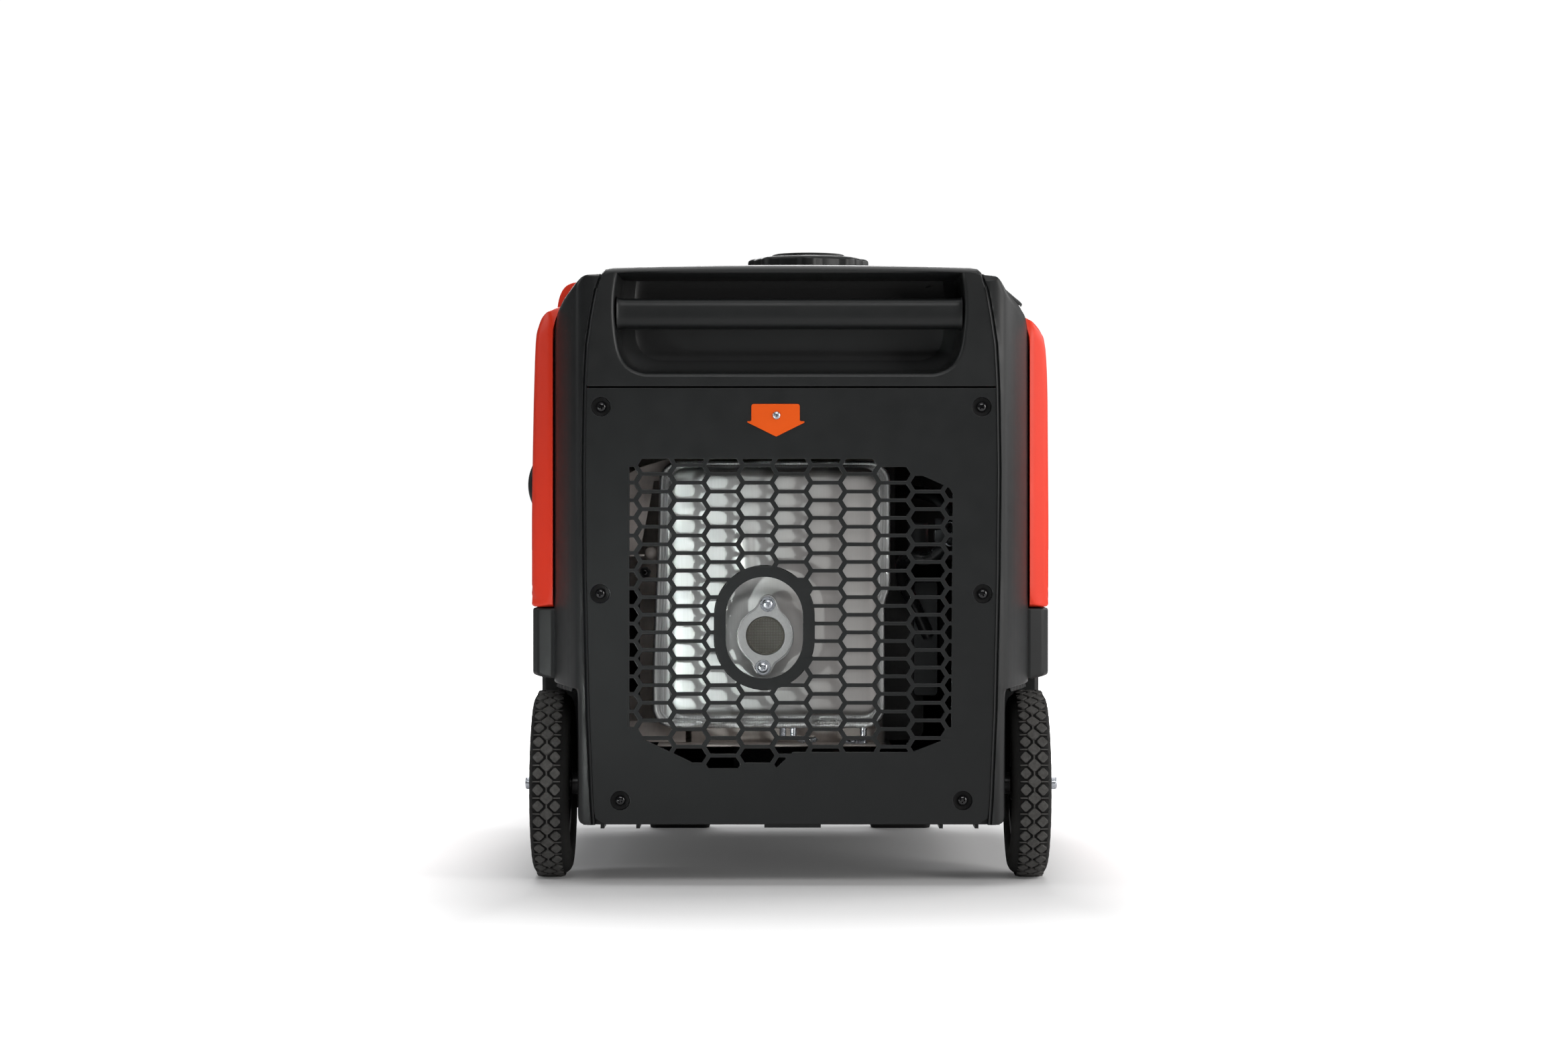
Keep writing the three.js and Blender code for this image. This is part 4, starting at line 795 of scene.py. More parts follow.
def panel_sides():
    zt, zb = 404.9, 51.5
    T = [(-(seam_x(zt) - 1.5), zt), (seam_x(zt) - 1.5, zt)]
    Rr = seam_line(zt, zb + 9, 60, -1.5)
    c = [(Rr[-1][0] - 9 + 9 * math.cos(t), zb + 9 - 9 * math.sin(t)) for t in np.linspace(0, math.pi / 2, 8)][1:]
    right = np.r_[Rr, c]
    B = [(right[-1][0], zb), (-right[-1][0], zb)]
    left = np.array([(-x, z) for x, z in right[::-1]])
    return T, right, B, left
piece("grille_panel_moulding", grille(), M["black"], replaces="exhaust_grille_panel", angle=35)

# ------------------------------------------------------------------ screws
def phillips(x, y, z, r, h, turn, slot_w, slot_l, depth, dome=0.5):
    """Pan head facing -Y, cut with a cross."""
    prof = [(0, -0.6)] + [(r * 0.92, -0.6), (r, -0.2), (r, h * 0.35)]
    prof = [(0, 0.8), (r * 0.95, 0.8), (r, 0.5), (r, -h * 0.35)]
    for k in range(1, 6):
        t = k / 5 * math.pi / 2
        prof.append((r * math.cos(t * 0.86), -h * 0.35 - h * 0.65 * math.sin(t)))
    prof[-1] = (r * 0.22, -h)
    prof.append((0, -h))
    head = mesh_from("h", Shape().add(lathe(prof, "y", (x, y, z), 28)))
    cut = Shape()
    for a in (0, 90):
        t = math.radians(a + turn)
        c, s = math.cos(t), math.sin(t)
        l, w, d = slot_l / 2, slot_w / 2, depth
        V = []
        for yy, ll, ww in ((y - h - 0.5, l, w), (y - h + d, l * 0.45, w * 0.8)):
            for u, v in ((-ll, -ww), (ll, -ww), (ll, ww), (-ll, ww)):
                V.append((x + u * c - v * s, yy, z + u * s + v * c))
        cut.add((V, [(0, 1, 2, 3), (7, 6, 5, 4), (0, 4, 5, 1), (1, 5, 6, 2), (2, 6, 7, 3), (3, 7, 4, 0)]))
    c1, c2 = Shape(), Shape()
    c1.v, c1.f, c1.mi = cut.v[:8], cut.f[:6], cut.mi[:6]
    c2.v, c2.f, c2.mi = cut.v[8:], cut.f[:6], cut.mi[:6]
    return boolean(head, [c1, c2])
for i, (x, z) in enumerate(SCREWS):
    y = Y0 + 4.2
    me = phillips(x, y, z, 4.15, 2.9, 20 + 31 * i, 1.3, 5.0, 1.7)
    piece(f"panel_screw_head_{i + 1}", me, M["gloss"], replaces=f"panel_screw_{i + 1}", angle=40)

# washers deep in the screw pockets; their extra darkness is painted shade
S = Shape()
for x, z in SCREWS:
    S.add(lathe([(3.2, 5.6), (3.2, 4.25), (4.6, 4.1), (7.0, 3.7), (7.55, 3.5), (7.6, 4.2), (7.3, 5.6)], "y", (x, Y0, z), 40))
piece("panel_screw_washers", S, M["pit"], angle=40)

# ------------------------------------------------------------------ arrow plate
AP = [(-32.5, 392), (6.8, 392), (6.8, 378.0), (13.0, 378.0), (-12.3, 365.4), (-37.9, 378.0), (-32.5, 378.0)]
o = round_poly(AP[::-1], [1.2, 0.8, 1.0, 0.8, 1.2, 2.0, 2.0], 4)
piece("arrow_plate_enamel", Shape().add(plate(o, [circle(-12.1, 382.6, 1.8, 16)], "y", Y0 - 0.3, Y0 - 1.1, 0.3, 2, 0.1)), M["orange"], replaces="arrow_plate", angle=50)
piece("arrow_plate_rivet", phillips(-12.1, Y0 - 1.2, 382.6, 3.25, 1.8, 12, 1.0, 3.6, 1.1), M["zinc"], replaces="arrow_plate_screw", angle=40)

# ------------------------------------------------------------------ side shells
def softmin(a, b, k):
    h = max(k - abs(a - b), 0.0) / k
    return min(a, b) - h * h * k * 0.25

PLAN = [(150, -305), (160, -305), (170, -303.5), (177, -299), (192, -262), (198, -244), (198, 234.5)]
DROP = {1: ([448, 456, 461, 476, 480, 495, 500, 505], [0, 2.5, 4.5, 10.5, 9.5, 11, 9, 7.5]), -1: ([448, 461, 476, 480, 493, 496, 500, 505], [0, 2, 3.6, 2.8, 3.6, 4.1, 5.0, 7.3])}
def sag(s, z, y):
    """How far the shoulder falls away towards the exhaust end."""
    t = min(1.0, max(0.0, (y + 300) / 100.0))
    return float(np.interp(z, *DROP[s])) * (1 - t * t * (3 - 2 * t))
def grid_shell(s, y_end):
    """Outer skin of one side as a grid, columns round the corner, rows down the section."""
    corner = smooth_line(PLAN[1:-1] + [(198, -225)], 50, 2)
    along = [(198.0, y) for y in np.linspace(-225, y_end, 30)][1:]
    plan = np.r_[corner, along]
    parts = [resample([(150.9, 505.0), (164, 503.8)], 8)[:-1], smooth_line([(164, 503.8), (167.5, 503.4), (172, 499), (192, 476), (196, 461), (198, 452), (198, 438)], 40, 3)[:-1],
             resample([(198, 438), (198, 172)], 30)[:-1], smooth_line([(198, 172), (198, 166), (196.5, 163.6), (190, 162.4)], 9)[:-1],
             resample([(190, 162.4), (181, 161.2)], 4)[:-1], smooth_line([(181, 161.2), (174.3, 160.2), (173.8, 152)], 9)[:-1], resample([(173.8, 152), (173.8, 60)], 16)[:-1], smooth_line([(173.8, 60), (173.6, 55), (171.6, 51.4), (166.0, 50.4)], 12, 2), []]
    sect = np.concatenate([p for p in parts if len(p)])
    rows = []
    for sx, sz in sect:
        zc = min(max(sz, 50.4), 505.2)
        zf = zc - sag(s, zc, Y0)
        e = seam_x(zf) + 0.95
        row = []
        # turned-in edge of the seam
        yf = Y0 + max(0.0, (zc - 501.5)) / 5.5 * 6.0
        row.append((e + 0.15, yf + 6.0, zf))
        row.append((e, yf + 1.2, zf))
        row.append((e + 0.25, yf + 0.45, zf))
        for px, py in plan:
            px2 = max(px, e + 0.8)
            if px < e + 0.8:
                # spread the first points between the seam and the corner
                px2 = e + 0.8 + (px - 160) * 0.05
            # the edge follows the cap's corner, then runs along the roof panel
            w = min(1.0, max(0.0, (py - Y0 - 12) / 58.0))
            lim = (e + 0.55) * (1 - w) + 150.9 * w
            x = softmin(px2, max(sx, lim + 0.35), 5.0 if px2 > e + 4 else 0.4)
            x = max(x, lim)
            yy = max(py, yf + 0.05)
            row.append((x, yy, zc - sag(s, zc, yy)))
        rows.append(row)
    return rows

def grid_mesh(rows, s):
    n = len(rows[0])
    V = [(s * p[0], p[1], p[2]) for r in rows for p in r]
    F = []
    for i in range(len(rows) - 1):
        for j in range(n - 1):
            f = (i * n + j, i * n + j + 1, (i + 1) * n + j + 1, (i + 1) * n + j)
            F.append(f if s > 0 else f[::-1])
    return V, F

def thicken(rows, s, t):
    """Closed skin: the outer grid and a copy moved inward, joined along the rim."""
    A = np.array(rows)
    du = np.gradient(A, axis=1)
    dv = np.gradient(A, axis=0)
    nrm = np.cross(dv, du)
    L = np.linalg.norm(nrm, axis=2, keepdims=True)
    nrm = nrm / np.maximum(L, 1e-9)
    # outward is +X or -Y
    side = (nrm[:, :, 0:1] - nrm[:, :, 1:2] + 0.3 * nrm[:, :, 2:3])
    nrm = np.where(side < 0, -nrm, nrm)
    B = A - nrm * t
    B[:, :, 2] = np.clip(B[:, :, 2], 50.4, 505)
    B[:, :, 2] = np.where(A[:, :, 2] > 300, np.minimum(B[:, :, 2], A[:, :, 2]), B[:, :, 2])
    R, C = A.shape[:2]
    V = [(s * p[0], p[1], p[2]) for p in A.reshape(-1, 3)] + [(s * p[0], p[1], p[2]) for p in B.reshape(-1, 3)]
    F = []
    o = R * C
    for i in range(R - 1):
        for j in range(C - 1):
            a, b, c, d = i * C + j, i * C + j + 1, (i + 1) * C + j + 1, (i + 1) * C + j
            F += [(a, b, c, d), (o + d, o + c, o + b, o + a)]
    for j in range(C - 1):
        F += [(j + 1, j, o + j, o + j + 1), ((R - 1) * C + j, (R - 1) * C + j + 1, o + (R - 1) * C + j + 1, o + (R - 1) * C + j)]
    for i in range(R - 1):
        F += [(i * C, (i + 1) * C, o + (i + 1) * C, o + i * C), ((i + 1) * C + C - 1, i * C + C - 1, o + i * C + C - 1, o + (i + 1) * C + C - 1)]
    return V, F

def band(s):
    """Lower band over the wheel and the skirt behind it."""
    S = Shape()
    ox = 214.6 if s < 0 else 213.5
    def loop(outx, y0, y1, inx=176.0):
        p = [(inx, y0), (198 - (213.5 - outx), y0), (outx - 4.5, y0 + 3), (outx, y0 + 10), (outx, y1 - 26), (outx - 5.5, y1 - 10), (outx - 16.5, y1), (inx, y1)]
        return round_poly(p, [0, 3, 5, 6, 12, 8, 5, 0], 4)
    def ringz(lp, z):
        return [(s * x, y, z(x, y) if callable(z) else z) for x, y in lp]
    def under(x, y):
        return 161.0 + max(0.0, min(1.0, (x - 176) / 37.5)) * 8.6
    rings = []
    for d, z in ((2.2, under), (0.9, lambda x, y: under(x, y) + 0.5), (0.2, lambda x, y: under(x, y) + 1.6), (0, lambda x, y: under(x, y) + 3.0)):
        rings.append(ringz(inset(loop(ox, -246, 234.5), d), z))
    for z in (190, 210, 223.4):
        rings.append(ringz(loop(ox, -246, 234.5), z))
    for d, z in ((0.25, 224.4), (0.9, 225.0), (4, 225.0)):
        rings.append(ringz(inset(loop(ox, -246, 234.5), d), z))
    S.add(loft(rings))
    def skirt(outx, y0, y1):
        p = [(168, y0), (outx - 3, y0), (outx, y0 + 3), (outx, y1), (168, y1)]
        return round_poly(p, [0, 2.5, 2.5, 0, 0], 4)
    rings = []
    for d, z in ((3.0, 50.3), (1.2, 50.5), (0.4, 51.2), (0, 52.4), (0, 90), (0, 130), (0, 175)):
        rings.append([(s * x, y, z) for x, y in inset(skirt(ox, -128, 234.5), d)])
    S.add(loft(rings))
    return S

def box_cut(x0, x1, y0, y1, z0, z1, r=0.0):
    return Shape().add(rbox(min(x0, x1), max(x0, x1), y0, y1, z0, z1, r, 3))

def side_shell(s):
    V, F = thicken(grid_shell(s, 234.5), s, 3.0)
    me = mesh_from("shell", Shape().add((V, F)))
    cuts = []
    if s > 0:
        cuts.append(box_cut(180, 206, -88, 128, 252, 438, 6))
        cuts.append(box_cut(188, 206, -194, -138, 268, 324))
    else:
        for y in (-55, 25, 105):
            cuts.append(box_cut(-206, -188, y, y + 56, 268, 324))
        cuts.append(Shape().add(lathe([(0, -206), (7, -206), (7, -185), (0, -185)], "x", (0, -150, 328), 24)))
    cuts.append(Shape().add(lathe([(0, 160), (6.2, 160), (6.2, 182), (0, 182)] if s > 0 else [(0, -182), (6.2, -182), (6.2, -160), (0, -160)], "x", (0, -215, 78), 24)))
    me = boolean(me, cuts)
    ob = piece(("right" if s > 0 else "left") + "_shell_moulding", me, M["black"], replaces=("right" if s > 0 else "left") + "_side_shell", angle=42)
    ob2 = piece(("right" if s > 0 else "left") + "_lower_band", band(s), M["black"], angle=42)
    return ob
for s in (-1, 1):
    side_shell(s)

def extrude_y(sec, y0, y1, r=1.2, s=1):
    """Section (x, z) run along Y with softened ends."""
    p = np.asarray(sec, float)
    if area2(p) < 0: p = p[::-1]
    rings = []
    for d, y in ((r, y0), (r * 0.3, y0 + r * 0.3), (0, y0 + r), (0, y1 - r), (r * 0.3, y1 - r * 0.3), (r, y1)):
        rings.append([(s * q[0], y, q[1]) for q in inset(p, d)])
    return loft(rings)
def shoulder_lip():
    """Drip edge that lies along the sloping shoulder."""
    rings = []
    top, low = np.array([176.0, 494.4]), np.array([188.4, 480.1])
    d = (low - top) / np.linalg.norm(low - top)
    nrm = np.array([-d[1], d[0]])
    L = float(np.linalg.norm(low - top))
    for y, k in [(-262, 0.15), (-261, 0.6), (-259.5, 0.9), (-257, 1.0)] + [(yy, 1.0) for yy in np.linspace(-250, -20, 24)] + [(-12, 0.9), (-10.5, 0.6), (-10, 0.15)]:
        ring = []
        for a, h in ((0, -1.0), (0.0, 0.0), (L * 0.35, 0.9 * k), (L * 0.75, 1.9 * k), (L - 0.8, 2.6 * k), (L + 0.1, 2.5 * k), (L + 0.7, 1.7 * k), (L + 0.4, 0.7 * k), (L - 1.6, 0.2), (L - 1.6, -1.0)):
            p = top + d * a + nrm * h
            ring.append((p[0], y, p[1] - sag(1, float((top + d * min(a, L))[1]), y)))
        rings.append(ring)
    return loft(rings)
piece("right_shoulder_lip", Shape().add(shoulder_lip()), M["black"])

# ------------------------------------------------------------------ red side covers
COVER = {-1: ([226, 300, 350, 398, 430, 444, 451, 455, 458.5, 462, 465, 467.6, 470, 471.8, 473.2, 474.2, 475],
              [216.2, 216.2, 215.3, 214.2, 213.2, 212.5, 211.9, 211.0, 210.0, 208.6, 207.0, 205.0, 202.6, 200.0, 197.6, 195.4, 193.0]),
         1: ([226, 300, 398, 420, 432, 440, 446, 450.5, 453.5, 456, 458.4, 460.4, 462.2, 463.8, 465.2, 466.6, 468],
             [214.0, 214.0, 213.2, 212.6, 211.9, 211.2, 210.2, 208.9, 207.3, 205.6, 203.6, 201.6, 199.6, 197.6, 195.6, 193.6, 191.6])}
COVER_TOP = {-1: 474.6, 1: 467.4}
def cover_x(y, z, s=1):
    """Outer surface of a side cover, as distance from the centre plane."""
    a = float(np.interp(z, *COVER[s]))
    m = 218.5
    if y < -241: b = 199 + 13.5 * (y + 251) / 10
    elif y < -232: b = 212.5 + 6.0 * (y + 241) / 9
    elif y < 222: b = m
    elif y < 233: b = m - 9.5 * (y - 222) / 11
    else: b = 209 - 10 * (y - 233) / 6
    return softmin(a, min(b, m), 5.0)
def cover_back(z, s):
    """Plane that a cover rests on: upright, then in along the shoulder."""
    t = COVER_TOP[s]
    return float(np.interp(z, [t - 20, t - 13.5, t - 6.5, t], [197.2, 195.8, 193.4, 190.4]))

def rrect4(y0, y1, z0, z1, r, nt, ns, k=10):
    """Rounded rectangle as four sides with fixed counts, from the lower left corner's end."""
    rb0, rb1, rt1, rt0 = r
    def arc(cy, cz, rad, a0, a1):
        return [(cy + rad * math.cos(t), cz + rad * math.sin(t)) for t in np.linspace(math.radians(a0), math.radians(a1), k)]
    Bs = arc(y0 + rb0, z0 + rb0, rb0, 225, 270) + arc(y1 - rb1, z0 + rb1, rb1, 270, 315)
    Rs = arc(y1 - rb1, z0 + rb1, rb1, 315, 360) + arc(y1 - rt1, z1 - rt1, rt1, 0, 45)
    Ts = arc(y1 - rt1, z1 - rt1, rt1, 45, 90) + arc(y0 + rt0, z1 - rt0, rt0, 90, 135)
    Ls = arc(y0 + rt0, z1 - rt0, rt0, 135, 180) + arc(y0 + rb0, z0 + rb0, rb0, 180, 225)
    return ring4(Bs, Rs, Ts, Ls, (nt, ns, nt, ns))

def patch(ring2, nt, ns, fx, F, V, base):
    """Fills a four-sided loop (already in V from index base) with a grid; fx gives the 3-D point."""
    Bs = [base + i for i in range(nt + 1)]
    Rs = [base + nt + i for i in range(ns + 1)]
    Ts = [base + nt + ns + i for i in range(nt + 1)][::-1]
    Ls = [base + 2 * nt + ns + i for i in range(ns)] + [base]
    Ls = Ls[::-1]
    P = ring2
    idx = {}
    for j in range(ns + 1):
        for i in range(nt + 1):
            if j == 0: idx[i, j] = Bs[i]
            elif j == ns: idx[i, j] = Ts[i]
            elif i == 0: idx[i, j] = Ls[j]
            elif i == nt: idx[i, j] = Rs[j]
            else:
                u, v = i / nt, j / ns
                b, t, l, r = P[Bs[i] - base], P[Ts[i] - base], P[Ls[j] - base], P[Rs[j] - base]
                q = (1 - v) * b + v * t + (1 - u) * l + u * r - ((1 - u) * (1 - v) * P[0] + u * (1 - v) * P[nt] + u * v * P[nt + ns] + (1 - u) * v * P[2 * nt + ns])
                idx[i, j] = len(V)
                V.append(fx(q[0], q[1]))
    for j in range(ns):
        for i in range(nt):
            F.append((idx[i, j], idx[i + 1, j], idx[i + 1, j + 1], idx[i, j + 1]))

def pad_solid(s, y0, y1, z0, z1, radii, bk, nt, ns, insets, edge):
    """Cover panel: outline at the back plane, edge rounding, then the crowned outer surface."""
    def shrink(d):
        return rrect4(y0 + d, y1 - d, z0 + d, z1 - d, [max(r - d, 0.5) for r in radii], nt, ns)
    V, F = [], []
    n = 2 * (nt + ns)
    rings = []
    back = bk if callable(bk) else (lambda z: bk)
    rings.append([(s * back(z), y, z) for y, z in shrink(0)])
    for d in insets:
        L = shrink(d)
        drop = edge * (1 - math.sqrt(max(0.0, 1 - (1 - min(1, d / edge)) ** 2))) if edge > 0 else 0
        rings.append([(s * max(cover_x(y, z, s) - drop, back(z) + 0.2), y, z) for y, z in L])
    for R in rings: V += R
    for k in range(len(rings) - 1):
        for i in range(n):
            j = (i + 1) % n
            F.append((k * n + i, k * n + j, (k + 1) * n + j, (k + 1) * n + i))
    F.append(tuple(range(n))[::-1])
    base = (len(rings) - 1) * n
    P = shrink(insets[-1])
    patch(P, nt, ns, lambda y, z: (s * cover_x(y, z, s), y, z), F, V, base)
    return V, F

INS = (0, 0.35, 0.8, 1.4, 2.2, 3.2, 4.4, 5.8, 7.4, 9.2, 11.2, 13.4, 15.8, 18.4, 21.2, 24, 27, 31, 36)
def slot_yz(y0, y1, z0, z1, x0, x1, r, slant=0.0):
    o = round_poly([(y0, z0), (y1, z0), (y1 + slant, z1), (y0 + slant, z1)], r, 5)
    return Shape().add(plate(o, [], "x", x0, x1, 0.0, 1, 0.0))
def slot_cut(y0, y1, z0, z1, x0, x1, r, slant=0.0):
    o = round_poly([(y0, z0), (y1, z0), (y1 + slant, z1), (y0 + slant, z1)], r, 5)
    return Shape().add(loft([[(x0, p[0], p[1]) for p in o], [(x1, p[0], p[1]) for p in o]]))

def finish_cut(me, w=0.7, ang=50):
    return me

def left_cover():
    me = mesh_from("c", Shape().add(pad_solid(-1, -251, 239, 226, COVER_TOP[-1], (7, 9, 12, 12), lambda z: cover_back(z, -1), 60, 30, INS, 2.6)))
    cuts = [slot_cut(-171.5, -128.5, 290.5, 365.5, -240, -202, 9), Shape().add(lathe([(0, -215), (5.5, -215), (5.5, -195), (0, -195)], "x", (0, -150, 328), 24))]
    for k in range(5):
        cuts.append(slot_cut(-60 + 3 * k, 150 + 3 * k, 268 + k * 15, 275 + k * 15, -240, -190, 3.2))
    me = boolean(me, cuts)
    return me
piece("left_cover_panel", left_cover(), M["red"], replaces="left_side_cover", angle=40)
wing = np.array([0, -1.6]) + np.r_[smooth_line([(198.6, 470), (198.6, 477), (195.4, 484.6), (189.4, 493.6), (180, 501.6)], 14), smooth_line([(180.4, 504.9), (184.5, 505.3), (190, 504.4), (195.4, 501.4), (199.4, 494.7), (201.6, 485.8), (202.3, 474), (202.3, 470), (200.5, 468.2)], 26)]
piece("left_shoulder_trim", Shape().add(extrude_y(wing, -120, 180, 1.0, -1)), M["red"])

def right_cover():
    me = mesh_from("c", Shape().add(pad_solid(1, -251, 239, 226, COVER_TOP[1], (7, 9, 12, 12), lambda z: cover_back(z, 1), 60, 30, INS, 2.6)))
    cuts = [slot_cut(-90, 130, 250, 440, 190, 240, [2, 2, 10, 10])]
    # sloped sill that the edge of the open door turns into
    sill = [(210.6, 250.2), (219.0, 250.2), (219.0, 244.2)]
    cuts.append(Shape().add(loft([[(x, y, z) for x, z in sill] for y in (-89.6, 129.6)])))
    for k in range(5):
        cuts.append(slot_cut(-205, -115, 272 + k * 15, 279 + k * 15, 190, 240, 3.2))
    return boolean(me, cuts)
piece("right_cover_panel", right_cover(), M["red"], replaces="right_side_cover", angle=40)

def door():
    me = mesh_from("c", Shape().add(pad_solid(1, -89, 129, 251, 439, (3, 3, 9, 9), 204.5, 44, 38, (0, 0.3, 0.8, 1.5, 2.4, 4, 8), 2.0)))
    cuts = [slot_cut(-86, 126, 260, 436, 190, 209.4, 6), Shape().add(lathe([(0, 190), (4.6, 190), (4.6, 230), (0, 230)], "x", (0, 20, 418), 24))]
    for k in range(4):
        cuts.append(slot_cut(-55, 95, 282 + k * 15, 289 + k * 15, 190, 240, 3.2))
    return boolean(me, cuts)
piece("service_door_panel", door(), M["red"], "access_door", "service_door", 40)

def latch():
    S = Shape()
    S.add(lathe([(0, 202), (4.2, 202), (4.2, 212.5), (12.6, 212.5), (13, 212.9), (13, 214.6), (12.6, 215.4), (11.6, 216), (10.4, 215.6), (9.6, 215.0), (0, 215.0)], "x", (0, 20, 418), 40))
    grip = []
    for x, w in ((214.6, 2.7), (216, 2.4), (218.8, 1.9), (220.1, 1.5), (220.5, 0.9)):
        L = 10.2 - (x - 214.6) * 0.12 - (1.2 if x > 220.3 else 0)
        grip.append([(x, 20 + p[0], 418 + p[1]) for p in round_poly(rect(-L, L, -w, w), min(w * 0.9, 1.6), 3)])
    S.add(loft(grip))
    return S
piece("door_latch_dial", latch(), M["black_dark"], "door_latch", "door_latch_knob", 40)

# ------------------------------------------------------------------ roof
def roof():
    S = Shape()
    def sec(x): return 508.0 - 3.0 * (abs(x) / 150) ** 2
    xs = np.linspace(-149.9, 149.9, 41)
    def row(y, dz, dx=0.0):
        return [(x * (149.9 - dx) / 149.9, y, sec(x) - dz) for x in xs]
    top = []
    ys = [-234.4, -234.0, -233.2] + list(np.linspace(-231, 231, 24)) + [233.2, 234.0, 234.4]
    dzs = [0.9, 0.25, 0.05] + [0] * 24 + [0.05, 0.25, 0.9]
    A = [row(y, d) for y, d in zip(ys, dzs)]
    B = [[(p[0], p[1], p[2] - 3.2) for p in r] for r in A]
    V, F = [], []
    R, C = len(A), len(xs)
    for r in A + B: V += r
    o = R * C
    for i in range(R - 1):
        for j in range(C - 1):
            a, b, c, d = i * C + j, i * C + j + 1, (i + 1) * C + j + 1, (i + 1) * C + j
            F += [(a, b, c, d), (o + d, o + c, o + b, o + a)]
    for j in range(C - 1):
        F += [(j + 1, j, o + j, o + j + 1), ((R - 1) * C + j, (R - 1) * C + j + 1, o + (R - 1) * C + j + 1, o + (R - 1) * C + j)]
    for i in range(R - 1):
        F += [(i * C, (i + 1) * C, o + (i + 1) * C, o + i * C), ((i + 1) * C + C - 1, i * C + C - 1, o + i * C + C - 1, o + (i + 1) * C + C - 1)]
    me = mesh_from("r", Shape().add((V, F)))
    me = boolean(me, [Shape().add(lathe([(0, 480), (31, 480), (31, 530), (0, 530)], "z", (15, -105, 0), 48))])
    return me
piece("roof_moulding", roof(), M["black"], replaces="top_cover", angle=35)
piece("filler_rim", Shape().add(lathe([(31, 503.6), (31, 508.0), (31.6, 508.6), (52.2, 508.6), (52.9, 508.2), (53, 507.6), (53, 503.6)], "z", (15, -105, 0), 56)), M["black"])

def fuel_cap():
    S = Shape()
    n = 96
    rings = []
    def r_at(t, base, amp):
        # eight grip lobes with hollows between
        c = math.cos(8 * t)
        return base + amp * max(-0.15, c) ** 3 if c > 0 else base
    prof = [(24.5, 500.2, 0), (24.5, 508.4, 0), (29.8, 508.8, 0), (30.4, 509.4, 0), (47.2, 509.4, 1), (48.2, 509.8, 1), (48.6, 510.6, 1), (48.6, 521.4, 1), (48.2, 522.6, 1), (47.0, 523.6, 1), (45.6, 524.4, .6), (44.0, 524.7, .3), (34.0, 524.7, 0), (33.4, 524.3, 0), (33.0, 523.8, 0), (6, 523.8, 0)]
    for r, z, a in prof:
        ring = []
        for k in range(n):
            t = 2 * math.pi * k / n
            c = math.cos(8 * t)
            lob = max(0.0, c) ** 0.6 if c > 0 else 0
            rr = r + a * (3.6 * (lob - 0.0)) if a else r
            ring.append((15 + rr * math.cos(t), -105 + rr * math.sin(t), z))
        rings.append(ring)
    S.add(loft(rings))
    return S
piece("fuel_cap_moulding", fuel_cap(), M["black"], "filler_cap", "fuel_cap", 40)
def dial():
    prof = [(0, 523.9), (31.0, 523.9), (31.5, 524.4), (31.5, 527.0), (31.1, 527.7), (30.3, 528.0), (28.6, 528.0), (28.2, 527.6), (27.0, 527.4), (0, 527.4)]
    me = mesh_from("d", Shape().add(lathe(prof, "z", (15, -105, 0), 64)))
    return boolean(me, [box_cut(13, 17, -89, -78, 526.4, 531, 0.6)])
piece("vent_dial_moulding", dial(), M["black_dark"], "vent_dial", "cap_vent_dial", 40)

